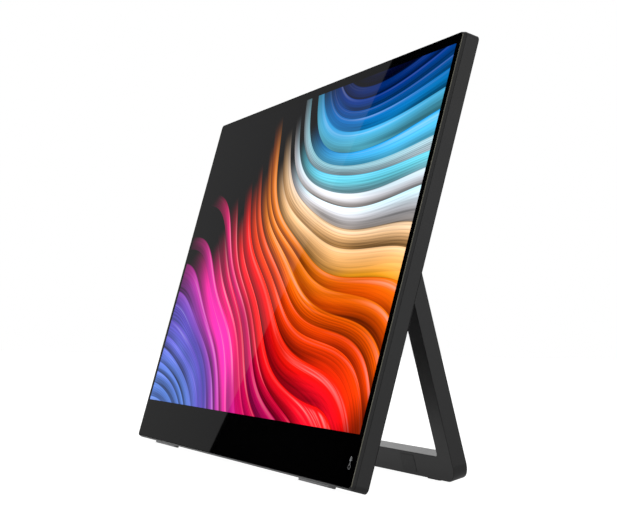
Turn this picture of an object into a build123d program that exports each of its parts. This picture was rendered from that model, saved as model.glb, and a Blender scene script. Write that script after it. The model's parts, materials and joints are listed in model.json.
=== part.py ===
from build123d import *
import math
import os

# Portable touch monitor, standing on a desk with its rear stand swung open.
# Millimetres. Z is up, the glass faces -Y, and X runs to the right of someone looking at the screen.
# A place on the display is given by x, by its height up the slanted face from the lower edge of the
# picture, and by its depth behind the front of the glass.

# Picture and cover glass
picture_width = 344.16
picture_height = 193.59
side_border = 4.0
top_border = 4.8
chin = 24.6
glass_thickness = 1.1
glass_corner = 2.0
glass_chamfer = 0.2
print_thickness = 0.1
tape_thickness = 0.3
tape_inset = 0.4
tape_gap = 0.2

# Front frame and rear cover
rim = 1.0
glass_gap = 0.1
rim_flat = 0.15
bevel_depth = 1.9
housing_depth = 8.9
back_edge_radius = 0.4
side_wall = 1.5
back_wall = 1.4
frame_plate = 1.0
plate_gap = 0.1
window_gap = 0.2
flex_room = 3.5

# Display module
module_margin = 1.0
driver_ledge = 8.0
cell_thickness = 1.0
film_thickness = 0.5
guide_thickness = 0.9
guide_margin = 0.5
guide_foot = 1.5
reflector_thickness = 0.2
tray_sheet = 0.3
tray_gap = 0.2
tray_foot = 7.8
tray_rim_gap = 0.1
lamp_end_inset = 4.0
lamp_height = 1.8
lamp_gap = 0.3
driver_board_length = 250.0
driver_board_height = 8.0
driver_board_foot = 2.5
driver_board_thickness = 0.8
driver_film_width = 20.0
driver_film_places = (-104.0, -66.0, 66.0, 104.0)
driver_film_reach = 1.6
driver_film_landing = 1.0
sensor_foot = 1.0
sensor_tail = 2.3
pad_length = 20.0
pad_height = 10.0
pad_from_side = 27.0
pad_from_end = 22.0

# Stand
stand_width = 286.6
leg_width = 14.4
bar_height = 12.7
stand_thickness = 8.1
stand_corner = 8.5
stand_inner_corner = 2.0
stand_edge = 0.3
stand_gap = 0.4
leg_length = 122.2
pivot_height = 98.5
open_angle = 30.0
open_most = 75.0

# Rubber feet and pads
foot_length = 41.0
foot_width = 4.0
foot_front = 3.5
foot_from_side = 52.0
foot_pocket = 0.5
foot_proud = 1.1
foot_flat = 1.3
stand_foot_length = 14.0
stand_foot_width = 2.6
stand_foot_inset = 0.6
stand_foot_spacing = 234.0
stand_foot_pocket = 0.4
stand_foot_proud = 0.8
stand_foot_flat = 0.8
stand_pad_width = 16.0
stand_pad_height = 9.4
stand_pad_corner = 1.0
stand_pad_spacing = 186.6
stand_pad_foot = 1.7
stand_pad_pocket = 0.6
stand_pad_proud = 0.3
rubber_gap = 0.1

# Electronics cover on the back, inside the folded stand
cover_side_gap = 1.0
cover_bar_gap = 2.3
cover_above_pivot = 16.5
cover_wall = 1.4
cover_corner = 6.0
cover_edge_radius = 2.0
vent_count = 24
vent_pitch = 5.0
vent_width = 1.6
vent_length = 12.0
vent_from_top = 22.0
grille_columns = 6
grille_rows = 3
grille_pitch = 5.6
grille_row_pitch = 3.0
grille_length = 4.0
grille_width = 1.0

# Boards
board_lift = 1.2
board_thickness = 1.2
main_board_width = 92.4
main_board_height = 66.0
board_speaker_gap = 4.5
board_wall_gap = 0.6
board_screw_inset = 4.0
socket_strip = 12.0
shield_width = 46.0
shield_height = 38.0
shield_depth = 2.5
shield_sheet = 0.3
chip_size = 12.0
chip_pitch = 14.4
chip_count = 3
chip_height = 1.0
touch_board_left = 10.0
touch_board_width = 50.0
touch_board_height = 18.0
touch_board_rise = 2.0
button_board_height = 50.0
button_board_foot = 24.0
button_board_thickness = 1.0
button_board_edge_gap = 0.7
button_room = 6.1
flex_thickness = 0.2
flex_bend = 0.6
display_cable_width = 16.0
touch_cable_width = 20.0
touch_cable_centre = 30.0
cable_slot_foot = 2.5
cable_slot_height = 6.0
cable_slot_gap = 1.5
cable_landing = 7.0
ribbon_width = 6.0

# Sockets on the left wall of the electronics cover
usb_width = 8.94
usb_height = 3.26
usb_length = 8.0
usb_tongue_width = 6.7
usb_tongue_height = 0.7
usb_tongue_gap = 1.0
usb_rises = (12.0, 26.0)
hdmi_width = 11.2
hdmi_height = 3.2
hdmi_length = 9.0
hdmi_tongue_width = 8.4
hdmi_corner = 1.0
hdmi_rise = 40.0
shell_wall = 0.3
socket_gap = 0.15
socket_recess = 0.6
jack_rise = 54.0
jack_bore = 1.8
jack_bore_length = 14.0
jack_nose = 2.7
jack_width = 6.4
jack_height = 4.8
jack_end_wall = 0.8
jack_ear = 1.6
jack_ear_thickness = 1.0
jack_ear_length = 10.0
jack_recess = 0.2

# Buttons on the right wall of the electronics cover
button_depth = 12.4
button_proud = 0.4
button_width = 3.6
button_gap = 0.25
button_travel = 0.5
switch_clearance = 0.05
switch_size = 3.5
switch_body = 1.5
switch_plunger = 0.4
switch_plunger_radius = 0.9
power_place = 62.0
power_length = 6.0
power_flange = 0.6
power_flange_thickness = 0.8
power_flange_gap = 0.05
power_stem_radius = 0.9
rocker_place = 40.0
rocker_length = 16.0
rocker_end_gap = 0.45
rocker_axis_inset = 1.7
rocker_inner = 1.5
rocker_nub_offset = 6.5
rocker_nub_radius = 0.8
rocker_tilt = 4.0
rocker_pin_radius = 0.6
rocker_pin_gap = 0.05
rocker_pin_play = 0.2
lug_width = 3.6
lug_thickness = 1.0
lug_gap = 0.2
light_place = 71.0
light_radius = 0.8
light_gap = 0.1

# Speakers
speaker_width = 44.0
speaker_height = 11.5
speaker_depth = 6.3
speaker_from_centre = 92.0
speaker_foot_gap = 1.1
speaker_cone_radius = 4.6
speaker_cone_depth = 1.0
speaker_dome_radius = 2.2

# Hinges
journal_radius = 1.25
journal_gap = 0.05
neck_radius = 1.8
neck_gap = 0.5
root_radius = 2.0
root_length = 10.0
collar_radius = 2.3
collar_wall_gap = 0.3
collar_thickness = 1.1
washer_thickness = 0.7
inner_washer_thickness = 0.5
inner_washer_count = 3
washer_play = 0.05
stop_washer_thickness = 0.6
stop_tab_reach = 3.6
stop_tab_width = 1.2
stop_play = 0.05
nut_thickness = 2.0
nut_across_flats = 4.0
journal_overrun = 0.8
bracket_thickness = 1.6
bracket_base = 1.0
bracket_width = 19.5
bracket_height = 17.0
bracket_gusset = 1.6
bracket_screw_inset = 5.0
bracket_screw_spacing = 9.0

# Screws
screw_radius = 1.0
screw_gap = 0.06
screw_head_radius = 1.9
screw_head = 1.0
screw_recess_gap = 0.2
screw_sunk = 0.15
screw_cross_length = 2.0
screw_cross_width = 0.5
screw_cross_depth = 0.6
screw_end_gap = 0.4
boss_radius = 2.6
boss_height = 2.3
boss_floor = 0.5
board_hole_depth = 2.0
cover_post_radius = 3.0
frame_post_hole = 4.0
frame_screw_height = -17.0
frame_screw_from_side = 17.0
frame_screw_middle = 70.0
cover_screw_side = 8.0
cover_screw_foot = 6.0
cover_screw_top = 8.0
cover_screw_top_side = 33.0

# Outlines and depths that follow
glass_width = picture_width + 2 * side_border
glass_height = chin + picture_height + top_border
glass_centre = (picture_height + top_border - chin) / 2
housing_width = glass_width + 2 * rim
housing_height = glass_height + 2 * rim
housing_corner = glass_corner + rim
housing_foot = -chin - rim
housing_top = picture_height + top_border + rim
inner_back = housing_depth - back_wall
print_back = glass_thickness + print_thickness
seat_depth = print_back + tape_thickness
cell_back = seat_depth + cell_thickness
film_back = cell_back + film_thickness
guide_back = film_back + guide_thickness
reflector_back = guide_back + reflector_thickness
tray_back = reflector_back + tray_sheet
driver_back = tray_back + driver_board_thickness
frame_back = bevel_depth + frame_plate
cell_side = picture_width / 2 + module_margin
cell_top = picture_height + module_margin
tray_side = cell_side + tray_gap + tray_sheet
tray_top = cell_top + tray_gap + tray_sheet
window_side = tray_side + window_gap
window_top = tray_top + window_gap
window_foot = -driver_ledge - flex_room
pivot_depth = housing_depth + stand_gap + stand_thickness / 2
cover_half = stand_width / 2 - leg_width - cover_side_gap
cover_foot = pivot_height - leg_length + bar_height + cover_bar_gap
cover_top = pivot_height + cover_above_pivot
cover_back = housing_depth + stand_gap + stand_thickness
cover_inner = cover_back - cover_wall
cover_inner_side = cover_half - cover_wall
board_front = housing_depth + board_lift
board_back = board_front + board_thickness
hole_radius = screw_radius + screw_gap
recess_radius = screw_head_radius + screw_recess_gap
recess_depth = screw_head + screw_sunk

# The tilt at which the front feet and the stand's feet rest on one floor
opening = math.radians(open_angle)


def on_stand(along, across):
    """Depth and height of a point on the open stand, from its pivot down the leg and back through it."""
    depth = pivot_depth + along * math.sin(opening) + across * math.cos(opening)
    height = pivot_height - along * math.cos(opening) + across * math.sin(opening)
    return depth, height


front_contact = (foot_front + foot_width - foot_flat, housing_foot - foot_proud)
back_contact = on_stand(
    leg_length + stand_foot_proud,
    stand_foot_inset + stand_foot_flat - stand_thickness / 2,
)
tilt = math.atan2(back_contact[1] - front_contact[1], back_contact[0] - front_contact[0])


def lean(depth, height):
    """How far back and up a point of the display lies from the lower edge of the picture."""
    back = depth * math.cos(tilt) + height * math.sin(tilt)
    up = height * math.cos(tilt) - depth * math.sin(tilt)
    return back, up


def rounded_reach(depth, height, radius):
    """Furthest reach to the back of a rounded corner whose sharp corner is given."""
    return lean(depth - radius, height - radius)[0] + radius


stand_tail = on_stand(leg_length - stand_edge, stand_thickness / 2 - stand_edge)
back_reach = max(
    lean(*stand_tail)[0] + stand_edge,
    rounded_reach(housing_depth, housing_top, back_edge_radius),
    rounded_reach(cover_back, cover_top, cover_edge_radius),
)
front_reach = lean(0, -chin - glass_gap - rim_flat)[0]
screen_place = (0, -(front_reach + back_reach) / 2, -lean(*front_contact)[1])

# Planes along the display: parallel to the glass, across its width, and square to its height
into_display = Vector(0, math.cos(tilt), -math.sin(tilt))
up_display = Vector(0, math.sin(tilt), math.cos(tilt))
depth_axis = Axis((0, 0, 0), into_display)
screen = Plane(origin=screen_place, x_dir=(1, 0, 0), z_dir=-into_display)
section = Plane(origin=screen_place, x_dir=into_display, z_dir=(1, 0, 0))
level = Plane(origin=screen_place, x_dir=(1, 0, 0), z_dir=up_display)

# Planes along the open stand, whose origin is the middle of the hinge axis
stand_lean = opening - tilt
through_stand = Vector(0, math.cos(stand_lean), math.sin(stand_lean))
up_stand = Vector(0, -math.sin(stand_lean), math.cos(stand_lean))
pivot_place = Vector(*screen_place) + into_display * pivot_depth + up_display * pivot_height
stand_face = Plane(origin=pivot_place, x_dir=(1, 0, 0), z_dir=-through_stand)
stand_section = Plane(origin=pivot_place, x_dir=through_stand, z_dir=(1, 0, 0))
stand_level = Plane(origin=pivot_place, x_dir=(1, 0, 0), z_dir=up_stand)

SIDES = (("left", -1), ("right", 1))


def behind(depth):
    """Plane parallel to the glass; a sketch there reads x and height."""
    return screen.offset(-depth)


def across(x):
    """Plane square to the width; a sketch there reads depth and height."""
    return section.offset(x)


def above(height):
    """Plane square to the height; a sketch there reads x and depth."""
    return level.offset(height)


def patch(left, right, low, high, mode=Mode.ADD):
    """Rectangle between four edges, in the sketch that is open."""
    with Locations(((left + right) / 2, (low + high) / 2)):
        Rectangle(right - left, high - low, mode=mode)


def save(piece, label):
    """Name a finished piece and write it as a STEP file of its own."""
    piece.part.label = label
    export_step(piece.part, f"parts/{label}.step")


def sheet(label, front, back, left, right, low, high):
    """Flat piece parallel to the glass, between two depths and four edges."""
    with BuildPart() as piece:
        with BuildSketch(behind(back)):
            patch(left, right, low, high)
        extrude(amount=back - front)
    save(piece, label)


def flat_cable(label, plane, width, bend, points):
    """Flat cable whose bends lie in a plane, made evenly to both sides of it."""
    with BuildPart() as piece:
        with BuildSketch(plane):
            with BuildLine():
                FilletPolyline(*points, radius=bend)
            trace(line_width=flex_thickness)
        extrude(amount=width / 2, both=True)
    save(piece, label)


def screws(label, seat, reach, places):
    """Screws put in from the back, heads behind the seat and shanks ahead of it."""
    with BuildPart() as group:
        with BuildSketch(behind(seat + screw_head)):
            with Locations(*places):
                Circle(screw_head_radius)
        extrude(amount=screw_head)
        with BuildSketch(behind(seat)):
            with Locations(*places):
                Circle(screw_radius)
        extrude(amount=reach)
        with BuildSketch(behind(seat + screw_head)):
            with Locations(*places):
                Rectangle(screw_cross_length, screw_cross_width)
                Rectangle(screw_cross_width, screw_cross_length)
        extrude(amount=screw_cross_depth, mode=Mode.SUBTRACT)
    save(group, label)


os.makedirs("parts", exist_ok=True)

# Screw places, each as x and height
frame_screw_side = housing_width / 2 - frame_screw_from_side
frame_screw_columns = (-frame_screw_side, -frame_screw_middle, frame_screw_middle, frame_screw_side)
frame_screw_spots = [(x, frame_screw_height) for x in frame_screw_columns]
cover_screw_x = cover_half - cover_screw_side
cover_screw_low = cover_foot + cover_screw_foot
cover_screw_high = cover_top - cover_screw_top
cover_screw_spots = [(0, cover_screw_low), (0, cover_screw_high)]
for side, sign in SIDES:
    cover_screw_spots.append((sign * cover_screw_x, cover_screw_low))
    cover_screw_spots.append((sign * (cover_half - cover_screw_top_side), cover_screw_high))

# Hinge stations along x, from the leg inwards
leg_inner = stand_width / 2 - leg_width
collar_outer = cover_inner_side - collar_wall_gap
collar_inner = collar_outer - collar_thickness
bracket_outer = collar_inner - washer_thickness - washer_play
bracket_inner = bracket_outer - bracket_thickness
washers_outer = bracket_inner - washer_play
washers_inner = washers_outer - inner_washer_count * inner_washer_thickness
nut_outer = washers_inner - stop_washer_thickness
nut_inner = nut_outer - nut_thickness
journal_end = nut_inner - journal_overrun
bracket_low = pivot_height - bracket_height / 2
bracket_high = pivot_height + bracket_height / 2

# The stop washer's tab meets the bracket's base when the stand is open furthest
stop_reach = pivot_depth - housing_depth - bracket_base - stop_play
tab_corner = math.hypot(stop_tab_reach, stop_tab_width / 2)
short_of_front = math.acos(stop_reach / tab_corner) + math.atan2(stop_tab_width / 2, stop_tab_reach)
tab_lean = math.pi - short_of_front - math.radians(open_most - open_angle)

hinge_screw_x = bracket_outer - bracket_width + bracket_screw_inset
hinge_screw_spots = []
for side, sign in SIDES:
    for row in (-0.5, 0.5):
        height = pivot_height + row * bracket_screw_spacing
        hinge_screw_spots.append((sign * hinge_screw_x, height))

# Boards inside the electronics cover, above the speakers, and the sockets on the main board's edge
speaker_low = cover_foot + cover_wall + speaker_foot_gap
speaker_middle = speaker_low + speaker_height / 2
main_board_foot = speaker_low + speaker_height + board_speaker_gap
touch_board_foot = main_board_foot + touch_board_rise
usb_places = [main_board_foot + rise for rise in usb_rises]
hdmi_place = main_board_foot + hdmi_rise
jack_place = main_board_foot + jack_rise
main_left = -cover_inner_side + board_wall_gap
main_right = main_left + main_board_width
main_top = main_board_foot + main_board_height
touch_right = touch_board_left + touch_board_width
touch_top = touch_board_foot + touch_board_height
main_screw_spots = [
    (x, y)
    for x in (main_left + socket_strip + board_screw_inset, main_right - board_screw_inset)
    for y in (main_board_foot + board_screw_inset, main_top - board_screw_inset)
]
touch_screw_spots = [
    (touch_board_left + board_screw_inset, touch_board_foot + board_screw_inset),
    (touch_right - board_screw_inset, touch_top - board_screw_inset),
]
board_screw_spots = main_screw_spots + touch_screw_spots
socket_depth = board_back + usb_height / 2
hdmi_depth = board_back + hdmi_height / 2
button_board_face = cover_inner_side - button_room
button_board_inner = button_board_face - button_board_thickness
switch_top = button_board_face + switch_body + switch_plunger
press_face = switch_top + button_travel + switch_clearance
nub_travel = rocker_nub_offset * math.sin(math.radians(rocker_tilt))
nub_face = switch_top + nub_travel + switch_clearance
rocker_axis = cover_inner_side - rocker_axis_inset
switch_spots = (power_place, rocker_place - rocker_nub_offset, rocker_place + rocker_nub_offset)
cable_slot_low = main_board_foot + cable_slot_foot
display_cable_centre = (driver_film_places[0] + driver_film_places[1]) / 2

# Cover glass, with a small chamfer round its front edge
with BuildPart() as cover_glass:
    with BuildSketch(behind(glass_thickness)):
        with Locations((0, glass_centre)):
            RectangleRounded(glass_width, glass_height, glass_corner)
    extrude(amount=glass_thickness)
    chamfer(cover_glass.faces().sort_by(depth_axis)[0].edges(), glass_chamfer)
save(cover_glass, "cover_glass")

# Black border printed on the back of the glass, open over the picture
with BuildPart() as border_print:
    with BuildSketch(behind(print_back)):
        with Locations((0, glass_centre)):
            RectangleRounded(glass_width, glass_height, glass_corner)
        patch(-picture_width / 2, picture_width / 2, 0, picture_height, Mode.SUBTRACT)
    extrude(amount=print_thickness)
save(border_print, "border_print")

# Touch sensor behind the print, with a tail for its cable
with BuildPart() as touch_sensor:
    with BuildSketch(behind(seat_depth)):
        patch(-window_side, window_side, -driver_ledge - sensor_foot, window_top)
        patch(
            touch_cable_centre - touch_cable_width / 2,
            touch_cable_centre + touch_cable_width / 2,
            -driver_ledge - sensor_foot - sensor_tail,
            -driver_ledge,
        )
    extrude(amount=tape_thickness)
save(touch_sensor, "touch_sensor")

# Tape ring that holds the glass to the front frame
with BuildPart() as glass_tape:
    with BuildSketch(behind(seat_depth)):
        with Locations((0, glass_centre)):
            RectangleRounded(glass_width - 2 * tape_inset, glass_height - 2 * tape_inset, glass_corner)
        patch(
            -window_side - tape_gap,
            window_side + tape_gap,
            window_foot - tape_gap,
            window_top + tape_gap,
            Mode.SUBTRACT,
        )
    extrude(amount=tape_thickness)
save(glass_tape, "glass_tape")

# Front frame: bevelled rim round the glass, a plate behind it, and posts for its screws
with BuildPart() as front_frame:
    with BuildSketch(behind(bevel_depth)):
        with Locations((0, glass_centre)):
            RectangleRounded(housing_width, housing_height, housing_corner)
    with BuildSketch(screen):
        with Locations((0, glass_centre)):
            RectangleRounded(
                glass_width + 2 * (glass_gap + rim_flat),
                glass_height + 2 * (glass_gap + rim_flat),
                glass_corner + glass_gap + rim_flat,
            )
    loft(ruled=True)
    with BuildSketch(behind(frame_back)):
        with Locations((0, glass_centre)):
            RectangleRounded(
                housing_width - 2 * (side_wall + plate_gap),
                housing_height - 2 * (side_wall + plate_gap),
                housing_corner - side_wall - plate_gap,
            )
    extrude(amount=frame_plate)
    with BuildSketch(behind(seat_depth)):
        with Locations((0, glass_centre)):
            RectangleRounded(
                glass_width + 2 * glass_gap,
                glass_height + 2 * glass_gap,
                glass_corner + glass_gap,
            )
    extrude(amount=seat_depth, mode=Mode.SUBTRACT)
    with BuildSketch(behind(frame_back)):
        patch(-window_side, window_side, window_foot, window_top)
    extrude(amount=frame_back - seat_depth, mode=Mode.SUBTRACT)
    with BuildSketch(behind(inner_back)):
        with Locations(*frame_screw_spots):
            Circle(boss_radius)
    extrude(amount=inner_back - frame_back)
    with BuildSketch(behind(inner_back)):
        with Locations(*frame_screw_spots):
            Circle(hole_radius)
    extrude(amount=frame_post_hole, mode=Mode.SUBTRACT)
save(front_frame, "front_frame")

# Display module, layer by layer from the front
guide_side = picture_width / 2 + guide_margin
guide_top = picture_height + guide_margin
sheet("lcd_cell", seat_depth, cell_back, -cell_side, cell_side, -driver_ledge, cell_top)
sheet("optical_films", cell_back, film_back, -guide_side, guide_side, -guide_foot, guide_top)
sheet("light_guide", film_back, guide_back, -guide_side, guide_side, -guide_foot, guide_top)
sheet("reflector_sheet", guide_back, reflector_back, -guide_side, guide_side, -guide_foot, guide_top)
lamp_top = -guide_foot - lamp_gap
lamp_side = picture_width / 2 - lamp_end_inset
sheet(
    "lamp_strip",
    film_back,
    reflector_back,
    -lamp_side,
    lamp_side,
    lamp_top - lamp_height,
    lamp_top,
)

# Metal tray behind the module, with walls at the sides and the top
with BuildPart() as backlight_tray:
    with BuildSketch(behind(tray_back)):
        patch(-tray_side, tray_side, -tray_foot, tray_top)
    extrude(amount=tray_back - seat_depth - tray_rim_gap)
    with BuildSketch(behind(reflector_back)):
        patch(-tray_side + tray_sheet, tray_side - tray_sheet, -driver_ledge, tray_top - tray_sheet)
    extrude(amount=reflector_back - seat_depth, mode=Mode.SUBTRACT)
save(backlight_tray, "backlight_tray")

# Driver board on the back of the tray, and the films that bring its signals round to the cell
sheet(
    "driver_board",
    tray_back,
    driver_back,
    -driver_board_length / 2,
    driver_board_length / 2,
    driver_board_foot,
    driver_board_foot + driver_board_height,
)
cell_middle = (seat_depth + cell_back) / 2
film_turn = -driver_ledge - driver_film_reach
with BuildPart() as driver_films:
    for place in driver_film_places:
        with BuildSketch(across(place)):
            with BuildLine():
                FilletPolyline(
                    (cell_middle, -driver_ledge),
                    (cell_middle, film_turn),
                    (driver_back + flex_thickness / 2, film_turn),
                    (driver_back + flex_thickness / 2, driver_board_foot + driver_film_landing),
                    radius=flex_bend,
                )
            trace(line_width=flex_thickness)
        extrude(amount=driver_film_width / 2, both=True)
save(driver_films, "driver_films")

# Foam pads between the tray and the rear cover
pad_columns = (-tray_side + pad_from_side, 0, tray_side - pad_from_side)
pad_rows = (pad_from_end, tray_top - pad_from_end)
with BuildPart() as foam_pads:
    with BuildSketch(behind(inner_back)):
        with Locations(*[(x, y) for x in pad_columns for y in pad_rows]):
            Rectangle(pad_length, pad_height)
    extrude(amount=inner_back - tray_back)
save(foam_pads, "foam_pads")

# Rear cover: a thin shell with screw bosses inside, board rests outside and pockets for the feet
cable_slots = (
    (display_cable_centre, display_cable_width),
    (touch_cable_centre, touch_cable_width),
)
foot_middle = foot_front + foot_width / 2
foot_side = housing_width / 2 - foot_from_side
with BuildPart() as rear_cover:
    with BuildSketch(behind(housing_depth)):
        with Locations((0, glass_centre)):
            RectangleRounded(housing_width, housing_height, housing_corner)
    extrude(amount=housing_depth - bevel_depth)
    fillet(rear_cover.faces().sort_by(depth_axis)[-1].edges(), back_edge_radius)
    with BuildSketch(behind(inner_back)):
        with Locations((0, glass_centre)):
            RectangleRounded(
                housing_width - 2 * side_wall,
                housing_height - 2 * side_wall,
                housing_corner - side_wall,
            )
    extrude(amount=inner_back - bevel_depth, mode=Mode.SUBTRACT)
    with BuildSketch(behind(inner_back)):
        with Locations(*(cover_screw_spots + hinge_screw_spots)):
            Circle(boss_radius)
    extrude(amount=boss_height)
    with BuildSketch(behind(housing_depth)):
        with Locations(*(cover_screw_spots + hinge_screw_spots)):
            Circle(hole_radius)
    extrude(amount=back_wall + boss_height - boss_floor, mode=Mode.SUBTRACT)
    with BuildSketch(behind(board_front)):
        with Locations(*board_screw_spots):
            Circle(boss_radius)
    extrude(amount=board_lift)
    with BuildSketch(behind(board_front)):
        with Locations(*board_screw_spots):
            Circle(hole_radius)
    extrude(amount=board_hole_depth, mode=Mode.SUBTRACT)
    with BuildSketch(behind(housing_depth)):
        with Locations(*frame_screw_spots):
            Circle(hole_radius)
        for centre, width in cable_slots:
            half = width / 2 + cable_slot_gap
            patch(centre - half, centre + half, cable_slot_low, cable_slot_low + cable_slot_height)
    extrude(amount=back_wall, mode=Mode.SUBTRACT)
    with BuildSketch(behind(housing_depth)):
        with Locations(*frame_screw_spots):
            Circle(recess_radius)
    extrude(amount=back_wall - boss_floor, mode=Mode.SUBTRACT)
    with BuildSketch(above(housing_foot)):
        with Locations((-foot_side, foot_middle), (foot_side, foot_middle)):
            SlotOverall(foot_length + 2 * rubber_gap, foot_width + 2 * rubber_gap)
    extrude(amount=foot_pocket, mode=Mode.SUBTRACT)
save(rear_cover, "rear_cover")

# Front feet, cut where they lie on the floor
for side, sign in SIDES:
    with BuildPart() as front_foot:
        with BuildSketch(above(housing_foot + foot_pocket)):
            with Locations((sign * foot_side, foot_middle)):
                SlotOverall(foot_length, foot_width)
        extrude(amount=-foot_pocket - foot_proud)
        split(bisect_by=Plane.XY, keep=Keep.TOP)
    save(front_foot, f"front_foot_{side}")

# Electronics cover: a shallow box with screw posts, air slots, sound slots and socket holes
cover_centre = (cover_foot + cover_top) / 2
with BuildPart() as electronics_cover:
    with BuildSketch(behind(cover_back)):
        with Locations((0, cover_centre)):
            RectangleRounded(2 * cover_half, cover_top - cover_foot, cover_corner)
    extrude(amount=cover_back - housing_depth)
    fillet(electronics_cover.faces().sort_by(depth_axis)[-1].edges(), cover_edge_radius)
    with BuildSketch(behind(cover_inner)):
        with Locations((0, cover_centre)):
            RectangleRounded(
                2 * cover_inner_side,
                cover_top - cover_foot - 2 * cover_wall,
                cover_corner - cover_wall,
            )
    extrude(amount=cover_inner - housing_depth, mode=Mode.SUBTRACT)
    with BuildSketch(behind(cover_inner)):
        with Locations(*cover_screw_spots):
            Circle(cover_post_radius)
    extrude(amount=cover_inner - housing_depth)
    with BuildSketch(behind(cover_back)):
        with Locations(*cover_screw_spots):
            Circle(hole_radius)
    extrude(amount=cover_back - housing_depth, mode=Mode.SUBTRACT)
    with BuildSketch(behind(cover_back)):
        with Locations(*cover_screw_spots):
            Circle(recess_radius)
    extrude(amount=recess_depth, mode=Mode.SUBTRACT)
    with BuildSketch(behind(cover_back)):
        with Locations((0, cover_top - vent_from_top)):
            with GridLocations(vent_pitch, 1, vent_count, 1):
                SlotOverall(vent_length, vent_width, rotation=90)
        for side, sign in SIDES:
            with Locations((sign * speaker_from_centre, speaker_middle)):
                with GridLocations(grille_pitch, grille_row_pitch, grille_columns, grille_rows):
                    SlotOverall(grille_length, grille_width)
    extrude(amount=cover_wall, mode=Mode.SUBTRACT)
    with BuildSketch(across(-cover_half)):
        with Locations(*[(socket_depth, place) for place in usb_places]):
            SlotOverall(usb_width + 2 * socket_gap, usb_height + 2 * socket_gap, rotation=90)
        with Locations((hdmi_depth, hdmi_place)):
            RectangleRounded(hdmi_height + 2 * socket_gap, hdmi_width + 2 * socket_gap, hdmi_corner)
        with Locations((socket_depth, jack_place)):
            Circle(jack_nose + socket_gap)
    extrude(amount=cover_wall, mode=Mode.SUBTRACT)
    for side, sign in SIDES:
        with BuildSketch(across(sign * cover_half)):
            with Locations((pivot_depth, pivot_height)):
                Circle(neck_radius + neck_gap)
            with Locations(((housing_depth + pivot_depth) / 2, pivot_height)):
                Rectangle(pivot_depth - housing_depth, 2 * (neck_radius + neck_gap))
        extrude(amount=-sign * cover_wall, mode=Mode.SUBTRACT)
    with BuildSketch(across(cover_half)):
        with Locations((button_depth, power_place)):
            SlotOverall(power_length + 2 * button_gap, button_width + 2 * button_gap, rotation=90)
        with Locations((button_depth, rocker_place)):
            SlotOverall(rocker_length + 2 * rocker_end_gap, button_width + 2 * button_gap, rotation=90)
        with Locations((button_depth, light_place)):
            Circle(light_radius + light_gap)
    extrude(amount=-cover_wall, mode=Mode.SUBTRACT)
    lug_edge = button_depth - button_width / 2 - lug_gap
    far_lug_edge = button_depth + button_width / 2 + lug_gap
    with BuildSketch(across(cover_inner_side)):
        with Locations((lug_edge - lug_thickness / 2, rocker_place)):
            Rectangle(lug_thickness, lug_width)
        with Locations(((far_lug_edge + cover_inner) / 2, rocker_place)):
            Rectangle(cover_inner - far_lug_edge, lug_width)
    extrude(amount=-rocker_axis_inset - rocker_inner)
    with BuildSketch(behind(lug_edge - lug_thickness)):
        with Locations((rocker_axis, rocker_place)):
            Circle(rocker_pin_radius + rocker_pin_gap)
    extrude(amount=-(cover_inner - lug_edge + lug_thickness), mode=Mode.SUBTRACT)
save(electronics_cover, "electronics_cover")

# Main board on its rests, with its chips
with BuildPart() as main_board:
    with BuildSketch(behind(board_back)):
        patch(main_left, main_right, main_board_foot, main_top)
        with Locations(*main_screw_spots):
            Circle(hole_radius, mode=Mode.SUBTRACT)
        jack_notch = jack_width / 2 + rubber_gap
        jack_back = -cover_half + jack_recess + jack_bore_length + jack_end_wall
        patch(
            main_left,
            jack_back + rubber_gap,
            jack_place - jack_notch,
            jack_place + jack_notch,
            Mode.SUBTRACT,
        )
    extrude(amount=board_thickness)
    shield_centre = (main_left + main_right) / 2 + board_screw_inset
    shield_middle = (main_board_foot + main_top) / 2
    with BuildSketch(behind(board_back + chip_height)):
        with Locations((shield_centre, shield_middle)):
            with GridLocations(chip_pitch, 1, chip_count, 1):
                Rectangle(chip_size, chip_size)
    extrude(amount=chip_height)
save(main_board, "main_board")

# Shield can over the chips
with BuildPart() as board_shield:
    with BuildSketch(behind(board_back + shield_depth)):
        with Locations((shield_centre, shield_middle)):
            Rectangle(shield_width, shield_height)
    extrude(amount=shield_depth)
    with BuildSketch(behind(board_back + shield_depth - shield_sheet)):
        with Locations((shield_centre, shield_middle)):
            Rectangle(shield_width - 2 * shield_sheet, shield_height - 2 * shield_sheet)
    extrude(amount=shield_depth - shield_sheet, mode=Mode.SUBTRACT)
save(board_shield, "board_shield")

# Touch board on its rests
with BuildPart() as touch_board:
    with BuildSketch(behind(board_back)):
        patch(touch_board_left, touch_right, touch_board_foot, touch_top)
        with Locations(*touch_screw_spots):
            Circle(hole_radius, mode=Mode.SUBTRACT)
    extrude(amount=board_thickness)
save(touch_board, "touch_board")

# Button board, standing on the rear cover behind the right wall, with its three switches
with BuildPart() as button_board:
    with BuildSketch(across(button_board_face)):
        with Locations(
            (
                (housing_depth + cover_inner - button_board_edge_gap) / 2,
                button_board_foot + button_board_height / 2,
            )
        ):
            Rectangle(cover_inner - button_board_edge_gap - housing_depth, button_board_height)
    extrude(amount=-button_board_thickness)
save(button_board, "button_board")

with BuildPart() as key_switches:
    with BuildSketch(across(button_board_face)):
        with Locations(*[(button_depth, place) for place in switch_spots]):
            Rectangle(switch_size, switch_size)
    extrude(amount=switch_body)
    with BuildSketch(across(button_board_face + switch_body)):
        with Locations(*[(button_depth, place) for place in switch_spots]):
            Circle(switch_plunger_radius)
    extrude(amount=switch_plunger)
save(key_switches, "key_switches")

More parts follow.
